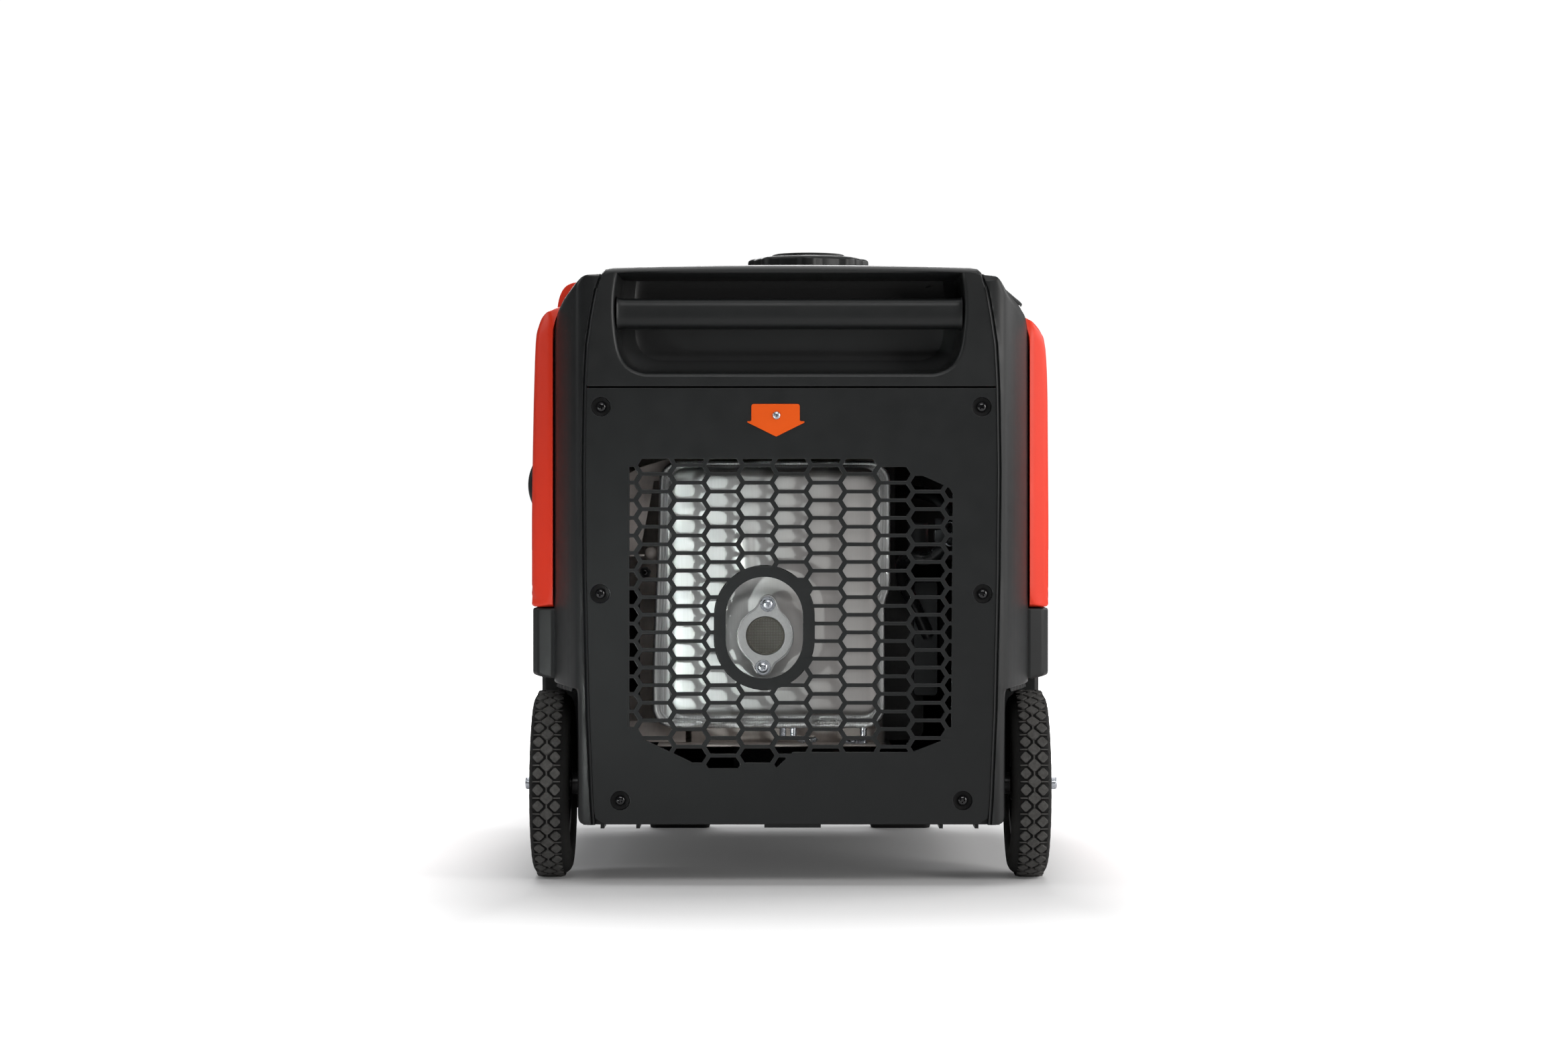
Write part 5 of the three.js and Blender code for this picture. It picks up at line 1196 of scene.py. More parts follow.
# ------------------------------------------------------------------ wheels
AXLE = (-215.0, 78.0)
WHEEL_X = {-1: -199.8, 1: 198.2}
def tyre(s):
    """Tread blocks on a rounded carcass."""
    S = Shape()
    w = 14.8
    prof = [(50.2, -w + 2.0), (52.5, -w + 0.7), (56, -w + 0.1), (60, -w), (63.5, -w + 0.2), (64.2, -w + 0.8), (65.0, -w + 0.3), (69, -w + 0.3), (71.8, -w + 1.1), (73.8, -w + 2.6), (75.0, -w + 4.6), (75.6, -w + 7.5), (75.8, 0)]
    inner = [(r, h - float(np.interp(r, [50.2, 53, 58, 66, 71, 74, 76], [0.4, 1.6, 2.6, 2.9, 2.3, 1.0, 0.0]))) for r, h in prof]
    prof = inner + [(r, -h) for r, h in prof[:-1][::-1]]
    x0 = WHEEL_X[s]
    S.add(lathe([(r, s * h) for r, h in prof], "x", (x0, AXLE[0], AXLE[1]), 108))
    N = 36
    def link(cx, half, ang, hv, top):
        """Thin raised bar across the grooves."""
        rings = []
        for f, r in ((1.25, 75.0), (1.0, top - 0.3), (0.75, top)):
            ring = []
            for u, v in ((-half, -hv * f), (half, -hv * f), (half, hv * f), (-half, hv * f)):
                d = abs(cx + u - x0) / w
                rr = r - 2.6 * max(0.0, d - 0.42) ** 2 * 2.2
                th = ang + v / 77.5
                ring.append((cx + u, AXLE[0] + rr * math.cos(th), AXLE[1] + rr * math.sin(th)))
            rings.append(ring)
        S.add(loft(rings))
    def block(cx, ang, hu, hv, base, top, shrink, cut=0.0, ends=None):
        """Diamond block: hu half width across, hv half length round the tyre (mm at the tread)."""
        pts = [(-hu, 0), (0, -hv), (hu, 0), (0, hv)]
        p = []
        for i, q in enumerate(pts):
            a, b = pts[i - 1], pts[(i + 1) % 4]
            c = 0.16
            p.append((q[0] + (a[0] - q[0]) * c, q[1] + (a[1] - q[1]) * c))
            p.append((q[0] + (b[0] - q[0]) * c, q[1] + (b[1] - q[1]) * c))
        rings = []
        for f, r in ((1.12, base), (1.03, top - 0.55), (0.97, top - 0.15), (shrink, top)):
            ring = []
            for u, v in p:
                th = ang + v * f / 77.5
                x = cx + u * f
                d = abs(x - x0) / w
                rr = r - 2.6 * max(0.0, d - 0.42) ** 2 * 2.2
                ring.append((x, AXLE[0] + rr * math.cos(th), AXLE[1] + rr * math.sin(th)))
            rings.append(ring)
        S.add(loft(rings))
    for k in range(N):
        a = 2 * math.pi * k / N
        block(x0, a + math.pi / N, 5.9, 5.75, 74.3, 78.0, 0.94)
        link(x0, 0.55, a, 2.2, 77.3)
        for o in (-1, 1):
            block(x0 + o * 7.0, a, 4.9, 5.2, 73.4, 78.0, 0.94)
            link(x0 + o * 8.4, 3.0, a + math.pi / N, 0.55, 77.5)
            # shoulder block, half a diamond that runs down the sidewall
            for (u0, u1) in ((11.6, 14.2),):
                rings = []
                hv = 4.6
                for f, rt in ((1.0, 0.0), (0.92, 0.75)):
                    ring = []
                    for u, v in ((10.6, 0.2), (12.2, -hv * 0.72), (13.9, -hv * 0.86), (14.55, -hv * 0.5), (14.55, hv * 0.5), (13.9, hv * 0.86), (12.2, hv * 0.72)):
                        base_r = np.interp(u, [9.5, 12.2, 13.7, 14.5], [75.6, 73.8, 71.8, 69.0])
                        th = a + math.pi / N + v * f / 75
                        ring.append((x0 + o * u, AXLE[0] + (base_r + rt - 0.35) * math.cos(th), AXLE[1] + (base_r + rt - 0.35) * math.sin(th)))
                    rings.append(ring)
                S.add(loft(rings))
    return S
def hub(s):
    S = Shape()
    x0 = WHEEL_X[s]
    at = (x0, AXLE[0], AXLE[1])
    w = 14.8
    # rim with rolled lips
    rim = [(42.2, -w + 2.6), (42.6, -w + 1.7), (43.6, -w + 1.3), (47.6, -w + 1.3), (49.0, -w + 1.6), (49.7, -w + 2.4), (49.7, w - 2.4), (49.0, w - 1.6), (47.6, w - 1.3), (43.6, w - 1.3), (42.6, w - 1.7), (42.2, w - 2.6), (41.4, 3.4), (41.4, -3.4)]
    S.add(lathe([(r, s * h) for r, h in rim], "x", at, 72))
    boss = [(5.5, -w), (12.6, -w), (13.6, -w + 0.5), (14.1, -w + 1.4), (15.0, -4), (15.0, 4), (14.1, w - 2.8), (13.6, w - 1.9), (12.6, w - 1.4), (5.5, w - 1.4)]
    S.add(lathe([(r, s * h) for r, h in boss], "x", at, 48))
    # dished web with six windows' worth of ribs
    web = [(14.2, -2.2), (26, -1.0), (41.8, -2.4), (41.8, 0.8), (26, 2.2), (14.2, 1.4)]
    S.add(lathe([(r, s * h) for r, h in web], "x", at, 72))
    for k in range(6):
        t = 2 * math.pi * k / 6 + math.pi / 6
        c, sn = math.cos(t), math.sin(t)
        for side in (-1, 1):
            rings = []
            for r, h, hw in ((13.6, 12.2, 2.3), (20, 9.6, 2.0), (30, 8.4, 1.9), (38, 9.6, 2.2), (42.3, 11.6, 2.8)):
                ring = []
                for u, v in ((-hw, 0.5), (-hw, h - 0.9), (-hw + 0.8, h), (hw - 0.8, h), (hw, h - 0.9), (hw, 0.5)):
                    ring.append((x0 + side * v, AXLE[0] + r * c - u * sn, AXLE[1] + r * sn + u * c))
                rings.append(ring)
            S.add(loft(rings))
    return S
for s, side in ((-1, "left"), (1, "right")):
    piece(f"{side}_tyre_tread", tyre(s), M["rubber"] if "tyre" not in M else M["tyre"], f"{side}_wheel", f"{side}_tyre", 32)
    piece(f"{side}_wheel_spokes", hub(s), M["black_dark"], f"{side}_wheel", f"{side}_wheel_hub", 35)
    nut = [(4.3, 214), (4.9, 214), (5.15, 214.25), (5.15, 220.6), (4.9, 221.5), (4.2, 222.1), (3.3, 222.3), (0, 222.3), (0, 219.4), (4.3, 219.4)]
    S = Shape().add(lathe([(r, s * h) for r, h in [(0, 222.3), (3.3, 222.3), (4.2, 222.1), (4.9, 221.5), (5.15, 220.6), (5.15, 214.25), (4.9, 214), (4.3, 214), (4.3, 219.4), (0, 219.4)]], "x", (0, AXLE[0], AXLE[1]), 36))
    piece(f"{side}_axle_cap_nut", S, M["zinc"], H, f"{side}_axle_nut", 40)

shaft = [(0, -219), (3.4, -219), (4, -218.4), (4, -213.6), (4.9, -213.6), (5.15, -213.3), (5.15, -183.3), (8.4, -183.3), (9, -182.7), (9, -175.1), (8.4, -174.5), (5.15, -174.5)]
shaft = shaft + [(r, -h) for r, h in shaft[::-1]]
piece("axle_bar", Shape().add(lathe(shaft, "x", (0, AXLE[0], AXLE[1]), 40)), M["paint"], H, "axle", 40)

# ------------------------------------------------------------------ muffler, flange and outlet
OX, OZ, OUT_Y = -21.2, 203.7, -296.0
TILT = math.radians(4.4)
EARS = [(OX + 25.8 * math.sin(TILT), OZ + 25.8 * math.cos(TILT)), (OX - 25.8 * math.sin(TILT), OZ - 25.8 * math.cos(TILT))]
def sstep(a, b, x):
    t = max(0.0, min(1.0, (x - a) / (b - a)))
    return t * t * (3 - 2 * t)
def muffler_face(x, z):
    """Front pressing of the muffler: slightly crowned, with a stiffening rib and shallow steps. Returns Y."""
    y = -279.4
    u, v = (x + 14.0) / 85.5, (z - 239) / 103
    y += 6.4 * u * u + 1.0 * v * v
    # upright rib left of the outlet
    rib = (1 - sstep(3.2, 6.5, abs(x + 36 + 4 * math.sin((z - 250) / 60)))) * sstep(246, 258, z) * (1 - sstep(286, 296, z))
    y -= 1.9 * rib
    # shallow lying swages
    for zc in (307, 281, 232, 182, 158):
        y -= 0.7 * math.exp(-((z - zc) / 2.6) ** 2) * (1 - rib) * (1 - sstep(0.8, 0.98, abs(u)))
    # raised seat round the outlet
    d = math.hypot(x - OX, z - OZ)
    y -= 1.2 * (1 - sstep(33, 40, d))
    return y
def muffler():
    """Deep-drawn front shell, the crimped seam round it and the rear shell."""
    nt, ns = 60, 60
    def loop(x0, x1, z0, z1, r):
        return rrect4(x0, x1, z0, z1, (r, r, r, r), nt, ns, 10)
    def seam(d, y, r=17.0):
        """Seam outline moved in by d: it widens downward on the left and steps in on the right."""
        out = []
        for px, pz in loop(-109.0 + d, 81.6 - d, 126.6 + d, 346.6 - d, max(3.0, r - d)):
            if px < -60: px -= 5.6 * (1 - sstep(150, 330, pz)) * sstep(-60, -96, px)
            if px > 50: px -= 4.6 * (1 - sstep(226, 246, pz)) * sstep(50, 72, px)
            wr = (1 - sstep(128, 141, pz))
            wy = 0.55 * math.sin(px * 0.83 + 1.3) + 0.4 * math.sin(px * 1.9 + pz * 0.7) + 0.3 * math.sin(px * 0.37)
            out.append((px, y + wr * wy * (1.0 if d > 0.4 else 0.3), pz + wr * 0.35 * math.sin(px * 1.31 + 0.4)))
        return out
    V, F = [], []
    rings = []
    for (x0, x1, z0, z1, r, y) in ((-96, 68, 142, 326, 14, -190), (-104, 74, 133, 336, 18, -190.6), (-106, 76.5, 130.6, 339, 20, -193), (-106.5, 77, 130, 340, 20, -199), (-106.5, 77, 130, 340, 20, -226), (-106.5, 77, 130, 340, 20, -254)):
        rings.append([(p[0], y, p[1]) for p in loop(x0, x1, z0, z1, r)])
    # the crimp: rear lip, rolled outer edge, groove, bright inner ridge
    for d, y in ((1.6, -256.2), (0.6, -256.6), (0.0, -257.8), (0.0, -259.4), (0.5, -260.8), (1.5, -261.6), (2.9, -261.7), (4.0, -261.0), (4.7, -259.9), (5.5, -259.7), (6.2, -260.6), (7.0, -261.4), (7.9, -261.2), (8.5, -260.2)):
        rings.append(seam(d, y))
    bx0, bx1, bz0, bz1 = -99.8, 71.6, 136.8, 341.6
    for d, y, r in ((-0.6, -260.4, 14), (0.0, -261.6, 13.6), (0.3, -264, 13.4), (0.7, -268.4, 13)):
        rings.append([(p[0], y, p[1]) for p in loop(bx0 + d, bx1 - d, bz0 + d, bz1 - d, r)])
    rad = 9.0
    for a in (10, 22, 34, 46, 58, 70, 80, 90):
        t = math.radians(a)
        d = 0.7 + rad * (1 - math.cos(t))
        dz = d + 1.5 * (1 - math.cos(t))
        lp = loop(bx0 + d, bx1 - d, bz0 + d, bz1 - dz, max(13 - d, 5))
        f = math.sin(t)
        rings.append([(p[0], -268.4 * (1 - f) + muffler_face(p[0], p[1]) * f, p[1]) for p in lp])
        last = lp
    for R in rings: V += R
    n = 2 * (nt + ns)
    for k in range(len(rings) - 1):
        for i in range(n):
            j = (i + 1) % n
            F.append((k * n + i, k * n + j, (k + 1) * n + j, (k + 1) * n + i))
    F.append(tuple(range(n))[::-1])
    patch(last, nt, ns, lambda x, z: (x, muffler_face(x, z), z), F, V, (len(rings) - 1) * n)
    return mesh_from("m", Shape().add((V, F)))
mf = muffler()
M["muffler"] = None

def muffler_material():
    """Aluminised pressing: mirror-like with drawn streaks, painted bright and cool on the left and darker and browner
    towards the engine side as painted light and shade.
    """
    k = NT("aluminised_pressing")
    big = k.noise(6.0, 4.0, 0.6)
    streak = k.noise(1.0, 4.0, 0.65, k.mapped((900, 900, 14)))
    fine = k.noise(700.0, 2.0, 0.5)
    sep = k.n("ShaderNodeSeparateXYZ")
    k.l(k.tc.outputs["Object"], sep.inputs[0])
    # painted light and shade: the face's colour falls from bright cool grey on the left to darker warm grey on the
    # right
    along = k.rng(sep.outputs[0], 0.0, 1.0, -0.11, 0.085)
    painted_falloff = k.math("ADD", along, k.rng(big, -0.25, 0.25, 0.3, 0.7))
    base = k.mix(k.ramp(painted_falloff, [(0.25, 0.0), (0.75, 1.0)]), (0.785, 0.81, 0.80), (0.525, 0.51, 0.50))
    base = k.mix(k.ramp(streak, [(0.42, 0.0), (0.62, 0.10)]), base, (0.5, 0.48, 0.46))
    soot = k.ramp(k.noise(22.0, 5.0, 0.7), [(0.6, 0.0), (0.85, 0.2)])
    base = k.mix(soot, base, (0.33, 0.30, 0.28))
    # the crimped seam is smoother than the drawn face, and its colour is painted brighter as painted light
    crimp = k.rng(sep.outputs[1], 0.0, 1.0, -0.2650, -0.2625)
    base = k.mix(crimp, base, k.mix(k.ramp(k.noise(1.0, 3.0, 0.6, k.mapped((1400, 1400, 20))), [(0.35, 0.0), (0.65, 1.0)]), (0.93, 0.95, 0.95), (0.66, 0.66, 0.65)))
    k.l(base, k.b.inputs["Base Color"])
    k.set(Metallic=1.0)
    k.l(k.math("SUBTRACT", k.math("ADD", k.rng(streak, 0.50, 0.57, 0.3, 0.7), k.rng(big, -0.03, 0.04, 0.3, 0.7)), k.math("MULTIPLY", crimp, 0.04)), k.b.inputs["Roughness"])
    k.l(k.bump(streak, 0.12, 0.00002, k.bump(fine, 0.2, 0.00001)), k.b.inputs["Normal"])
    return k.m
M["muffler"] = muffler_material()
def muffler_extras():
    S = Shape()
    # outlet stub and its two bosses
    S.add(lathe([(15.6, -268), (15.6, -291.4), (17.8, -291.4), (18.4, -290.8), (18.6, -286), (20, -281), (24, -277.5), (26, -276)], "y", (OX, 0, OZ), 48))
    for x, z in EARS:
        S.add(lathe([(2.9, -276), (2.9, -291.4), (6.1, -291.4), (6.5, -291), (6.6, -284), (8.6, -277.5), (9.4, -276)], "y", (x, 0, z), 32))
    # exhaust pipe back to the engine
    path = curve3([(-10, -189, 325), (-10, -150, 325), (-10, -110, 325), (-10, -76, 325)], 12)
    S.add(sweep(path, 13, 28))
    S.add(lathe([(13.2, -196), (20, -196), (20.6, -195.2), (20.6, -191.6), (20, -190.8), (13.2, -190.8)], "y", (-10, 0, 325), 36))
    # two weld beads on the seam flange
    for x in (-74, 20):
        path = [(x + 0.9 * i, -261.8 - 0.3 * math.sin(i * 1.9), 131.2 + 0.4 * math.cos(i * 2.3)) for i in range(22)]
        S.add(sweep(path, [1.5 + 0.45 * math.sin(i * 2.1) for i in range(22)], 10))
    return S
piece("muffler_pressing", mf, M["muffler"], H, "muffler_shell", 45)
piece("muffler_outlet_stub", muffler_extras(), M["muffler"], H, angle=40)

def flange():
    n = 160
    th = np.linspace(0, 2 * math.pi, n, endpoint=False)
    def radius(t):
        best = 23.3
        for e in (0, math.pi):
            d = (t - e + math.pi) % (2 * math.pi) - math.pi
            if abs(math.sin(d)) * 25.8 < 7.7 and math.cos(d) > 0:
                best = max(best, 25.8 * math.cos(d) + math.sqrt(7.7 ** 2 - (25.8 * math.sin(d)) ** 2))
            if 0 < abs(d) < math.pi / 2:
                # tangent flank from the ear towards the body
                x0, y0, x1, y1 = 25.8, 7.7, 17.0, 12.6
                c, s_ = math.cos(d), abs(math.sin(d))
                den = (x1 - x0) * s_ - (y1 - y0) * c
                r = (y0 * (x1 - x0) - x0 * (y1 - y0)) / den if abs(den) > 1e-6 else 0
                if r > 0 and y0 <= r * s_ <= 16.5:
                    best = max(best, r)
        return best
    R = np.array([radius(t) for t in th])
    ker = np.hanning(11); ker /= ker.sum()
    Rp = np.r_[R[-5:], R, R[:5]]
    Rs = np.convolve(Rp, ker, "valid")
    ax = math.pi / 2 - TILT
    o = np.stack([OX + Rs * np.cos(ax + th), OZ + Rs * np.sin(ax + th)], 1)
    S = Shape()
    S.add(plate(o, [circle(OX, OZ, 15.8, 56), circle(*EARS[0], 3.1, 20), circle(*EARS[1], 3.1, 20)], "y", OUT_Y + 4.2, OUT_Y + 0.45, 0.5, 2, 0.3))
    # raised bead round the edge and round the bore
    def bead(loop, wdt, hgt, flip=False):
        L = np.asarray(loop)
        if area2(L) < 0: L = L[::-1]
        prof = [(0.5, 0.5), (0.55, 0.1), (0.9, 0.0), (wdt * 0.7, 0.02), (wdt, 0.3), (wdt + 0.4, 0.55)]
        rings = []
        for d, y in prof:
            rings.append([(p[0], OUT_Y + y, p[1]) for p in inset(L, d)])
        V, F = loft(rings, False, False)
        m = len(L)
        k0 = 0
        # close underneath
        k1 = (len(prof) - 1) * m
        for i in range(m):
            j = (i + 1) % m
            F.append((k1 + i, k1 + j, k0 + j, k0 + i))
        return V, F
    S.add(bead(o, 1.3, 0.5))
    return S
piece("exhaust_flange_plate", flange(), M["flange"], H, "exhaust_flange", 40)
for i, (x, z) in enumerate(EARS):
    nm = "lower" if i else "upper"
    me = phillips(x, OUT_Y + 0.1, z, 4.55, 3.2, 17 + 40 * i, 1.15, 5.4, 1.7)
    piece(f"flange_screw_head_{nm}", me, M["zinc"], H, f"flange_screw_{nm}", 40)
    S = Shape().add(lathe([(3.0, OUT_Y + 0.35), (3.0, OUT_Y - 0.3), (5.9, OUT_Y - 0.3), (6.2, OUT_Y), (6.2, OUT_Y + 0.35)], "y", (x, 0, z), 36))
    piece(f"flange_washer_{nm}", S, M["zinc"], H, angle=40)

def screen():
    """Woven wire screen: crossing wires over a round frame."""
    S = Shape()
    S.add(lathe([(14.2, OUT_Y + 4.6), (15.5, OUT_Y + 4.6), (15.5, OUT_Y + 3.0), (15.2, OUT_Y + 2.7), (14.5, OUT_Y + 2.7), (14.2, OUT_Y + 3.0)], "y", (OX, 0, OZ), 48))
    p = 0.95
    n = int(14.3 / p)
    for a in (0, 1):
        for i in range(-n, n + 1):
            c = i * p
            h = math.sqrt(max(0.0, 14.4 ** 2 - c * c))
            if h < 1: continue
            m = max(2, int(2 * h / (p / 1.0)))
            path = []
            for k in range(m + 1):
                t = -h + 2 * h * k / m
                d = 0.19 * (1 if (i + k + a) % 2 else -1)
                y = OUT_Y + 3.3 + d - 0.4 * (1 - (t * t + c * c) / 180)
                path.append((OX + (t if a == 0 else c), y, OZ + (c if a == 0 else t)))
            if len(path) > 2:
                S.add(sweep(path, 0.24, 5, up=(0, 1, 0)))
    # the cup behind it
    S.add(lathe([(0, OUT_Y + 22), (15.0, OUT_Y + 22), (15.0, OUT_Y + 4.0), (14.4, OUT_Y + 4.0), (14.4, OUT_Y + 21.4), (0, OUT_Y + 21.4)], "y", (OX, 0, OZ), 36))
    return S
M["screen"] = plastic("olive_wire_screen", (0.060, 0.057, 0.047), 0.55, 0.4, 600.0, 0.00003, 0.25, 0.3, (0.16, 0.15, 0.12))
piece("spark_screen_weave", screen(), M["screen"], H, "spark_arrestor_screen", 40)

# ------------------------------------------------------------------ softened CAD solids
BODY_OF = {}
for nm, ob in NODES.items():
    BODY_OF[nm] = body_of(ob)
def from_cad(node, name, mat, bev=0.8, seg=2, angle=33, limit=1.0, sharp=38):
    """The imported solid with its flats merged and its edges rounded."""
    src = NODES[node].data
    me = src.copy()
    bm = bmesh.new()
    bm.from_mesh(me)
    bmesh.ops.remove_doubles(bm, verts=bm.verts, dist=0.00002)
    bmesh.ops.dissolve_limit(bm, angle_limit=math.radians(limit), verts=bm.verts, edges=bm.edges)
    bm.to_mesh(me)
    bm.free()
    me.materials.clear()
    if bev:
        me = bevel_mesh(me, bev, seg, angle)
    me.materials.clear()
    b = BODY_OF[node]
    return piece(name, me, mat, b if isinstance(b, str) else (list(b)[0] if b else H), node, sharp)

# ------------------------------------------------------------------ control end
from_cad("control_end_shell", "control_end_moulding", M["black"], 1.2, 2, 33)
from_cad("control_panel", "control_panel_moulding", M["grey"], 0.6, 2, 40)
# rubber frame behind the panel, closing the gap to the shell
piece("control_panel_gasket", Shape().add(plate(round_poly(rect(-153.2, 153.2, 106.4, 401.6), 3, 4), [round_poly(rect(-145.6, 145.6, 114.2, 393.8), 3, 4)], "y", 281.2, 283.1, 0.3, 2, 0.2)), M["black_dark"], angle=40)
from_cad("duplex_outlet", "duplex_outlet_moulding", M["black_dark"], 0.5, 2, 40)
from_cad("outlet_cover", "outlet_cover_moulding", M["black_dark"], 0.5, 2, 40)
from_cad("engine_switch_knob", "engine_switch_dial", M["black_dark"], 0.9, 2, 40)
from_cad("eco_rocker", "eco_rocker_key", M["black_dark"], 0.6, 2, 30)
from_cad("start_button", "start_button_key", M["grey"], 0.5, 2, 40)
from_cad("breaker_button", "breaker_button_key", M["grey"], 0.5, 2, 40)
M["display"] = plastic("display_window", (0.010, 0.014, 0.016), 0.08, 0.6, 200.0, 0.000005, 0.1, 0.1)
from_cad("meter_display", "meter_window", M["display"], 0.6, 3, 40)

# ------------------------------------------------------------------ tow handle
def tow():
    S = Shape()
    y, r = 299.0, 5.7
    path = [(-170, y, 95.0), (-170, y, 100)]
    path += [(-170, y, z) for z in np.linspace(110, 380, 10)]
    cr = 22.0
    path += [(-170 + cr - cr * math.cos(t), y, 404 - cr + cr * math.sin(t)) for t in np.linspace(0, math.pi / 2, 10)]
    path += [(x, y, 404) for x in np.linspace(-140, 140, 12)]
    path += [(170 - cr + cr * math.sin(t), y, 404 - cr + cr * math.cos(t)) for t in np.linspace(0, math.pi / 2, 10)]
    path += [(170, y, z) for z in np.linspace(380, 110, 10)] + [(170, y, 100), (170, y, 95.0)]
    S.add(sweep(path, r, 28, up=(0, 1, 0)))
    for s in (-1, 1):
        c = s * 170
        S.add(lathe([(0, -11.6), (2.6, -11.6), (3.0, -11.2), (3.0, -7), (5.5, -7), (6.0, -6.5), (6.0, 6.5), (5.5, 7), (3.0, 7), (3.0, 11.2), (2.6, 11.6), (0, 11.6)], "x", (c, y, 96), 32))
    return S
piece("tow_handle_tube", tow(), M["paint"], "tow_handle_frame", "tow_handle", 40)
def tow_grip():
    prof = []
    x = -62.0
    prof.append((5.4, x))
    prof.append((5.9, x + 0.2)); prof.append((6.0, x + 0.8))
    while x < 58:
        prof += [(6.0, x + 2.4), (5.82, x + 2.8), (5.82, x + 3.2), (6.0, x + 3.6)]
        x += 3.6
    prof += [(6.0, 61.2), (5.9, 61.8), (5.4, 62.0)]
    V, F = lathe([(0, -62.0)] + prof + [(0, 62.0)], "x", (0, 299, 404), 32)
    return Shape().add((V, F))
piece("tow_handle_grip", tow_grip(), M["rubber"], "tow_handle_frame", angle=40)

# ------------------------------------------------------------------ recoil starter
def recoil():
    gy, gz = -150.0, 328.0
    S = Shape()
    rings = []
    outer = smooth_line([(-206.2, gz - 28.6), (-212, gz - 28), (-219, gz - 21), (-223.7, gz - 10), (-224.9, gz), (-223.7, gz + 10), (-219, gz + 21), (-212, gz + 28), (-206.2, gz + 28.6)], 26)
    inner = smooth_line([(-206.0, gz - 26.5), (-207.6, gz - 18), (-209.6, gz - 9), (-210.2, gz), (-209.6, gz + 9), (-207.6, gz + 18), (-206.0, gz + 26.5)], 26)
    for o, i in zip(outer, inner):
        c, hx = (o + i) / 2, np.linalg.norm(o - i) / 2
        d = (i - o) / max(1e-6, np.linalg.norm(i - o))
        ring = []
        w = 11.9
        for k in range(20):
            t = 2 * math.pi * k / 20
            a, b = math.cos(t), math.sin(t)
            u = math.copysign(abs(a) ** 0.6, a) * hx
            v = math.copysign(abs(b) ** 0.6, b) * w
            ring.append((c[0] + d[0] * u, gy + v, c[1] + d[1] * u))
        rings.append(ring)
    S.add(loft(rings))
    S.add(lathe([(0, -214), (4.2, -214), (4.6, -213.6), (4.6, -197), (4.0, -196), (0, -196)], "x", (0, gy, gz), 28))
    return S
piece("recoil_grip_moulding", recoil(), M["black_dark"], "starter_grip", "recoil_grip", 40)
rope = []
for i in range(33):
    rope.append((-187.0 - i * 10.0 / 32, -150, 328))
S = Shape()
S.add(sweep(rope, 2.0, 14, up=(0, 0, 1)))
M["rope"] = plastic("braided_nylon", (0.05, 0.05, 0.05), 0.7, 0.3, 2500.0, 0.0002, 0.3, 0.2)
ro = piece("starter_rope", S, M["rope"], None)
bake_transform(ro, H, "starter_grip", (-188 * MM, -150 * MM, 328 * MM), (-196.5 * MM, -150 * MM, 328 * MM))
from_cad("recoil_pulley", "recoil_pulley_drum", M["grey"], 0.6, 2, 33)
from_cad("recoil_housing", "recoil_cover_moulding", M["black_dark"], 1.0, 2, 33)

# ------------------------------------------------------------------ under-structure and engine
from_cad("base_pan", "base_pan_moulding", M["black"], 1.0, 2, 33)
def foot(s):
    S = Shape()
    cx, cy = s * 107.0, 267.5
    rings = []
    for d, z in ((2.4, 0.0), (0.8, 0.4), (0.2, 1.4), (0, 3), (0, 6.0), (0.9, 6.4), (0.9, 8.0), (0, 8.4), (0, 13), (0.9, 13.4), (0.9, 15), (0, 15.4), (0, 20), (0.9, 20.4), (0.9, 22), (0, 22.4), (0, 26.6), (0.5, 27.6), (1.6, 28.0)):
        rings.append([(p[0], p[1], z) for p in inset(round_poly(rect(cx - 29, cx + 29, cy - 13.5, cy + 13.5), 7, 6), d)])
    return S.add(loft(rings))
for s, side in ((-1, "left"), (1, "right")):
    piece(f"{side}_foot_rubber", foot(s), M["rubber"], H, f"{side}_foot", 40)
from_cad("heat_shield", "heat_shield_sheet", M["shield"], 0.4, 2, 33)
from_cad("engine_block", "engine_block_casting", M["cast"], 1.0, 2, 33)
from_cad("spark_plug", "spark_plug_body", M["ceramic"], 0.5, 2, 33)
from_cad("crankshaft", "crankshaft_bar", M["zinc"], 0.5, 2, 33)
from_cad("alternator_rotor", "alternator_rotor_drum", M["rotor"], 0.7, 2, 33)
from_cad("alternator_stator", "alternator_stator_winding", M["copper"], 1.0, 2, 33)
from_cad("carburettor", "carburettor_casting", M["cast"], 0.8, 2, 33)
from_cad("air_cleaner", "air_cleaner_case", M["black_dark"], 1.2, 2, 33)
from_cad("fuel_tank", "fuel_tank_shell", M["black_dark"], 2.0, 3, 33)
from_cad("inverter_module", "inverter_module_case", M["cast"], 0.6, 2, 33)
from_cad("starter_battery", "starter_battery_case", M["grey"], 1.0, 2, 33)
hose = curve3([(62, -120, 300), (76, -150, 314), (98, -178, 322), (122, -212, 316), (135, -228, 300), (134, -232, 285), (125, -231, 273), (113, -229, 266), (101, -226, 267), (93, -218, 262), (94, -206, 246), (104, -196, 226), (116, -190, 200)], 90)
M["hose"] = plastic("hose_rubber", (0.016, 0.017, 0.018), 0.28, 0.5, 400.0, 0.00004, 0.15, 0.1)
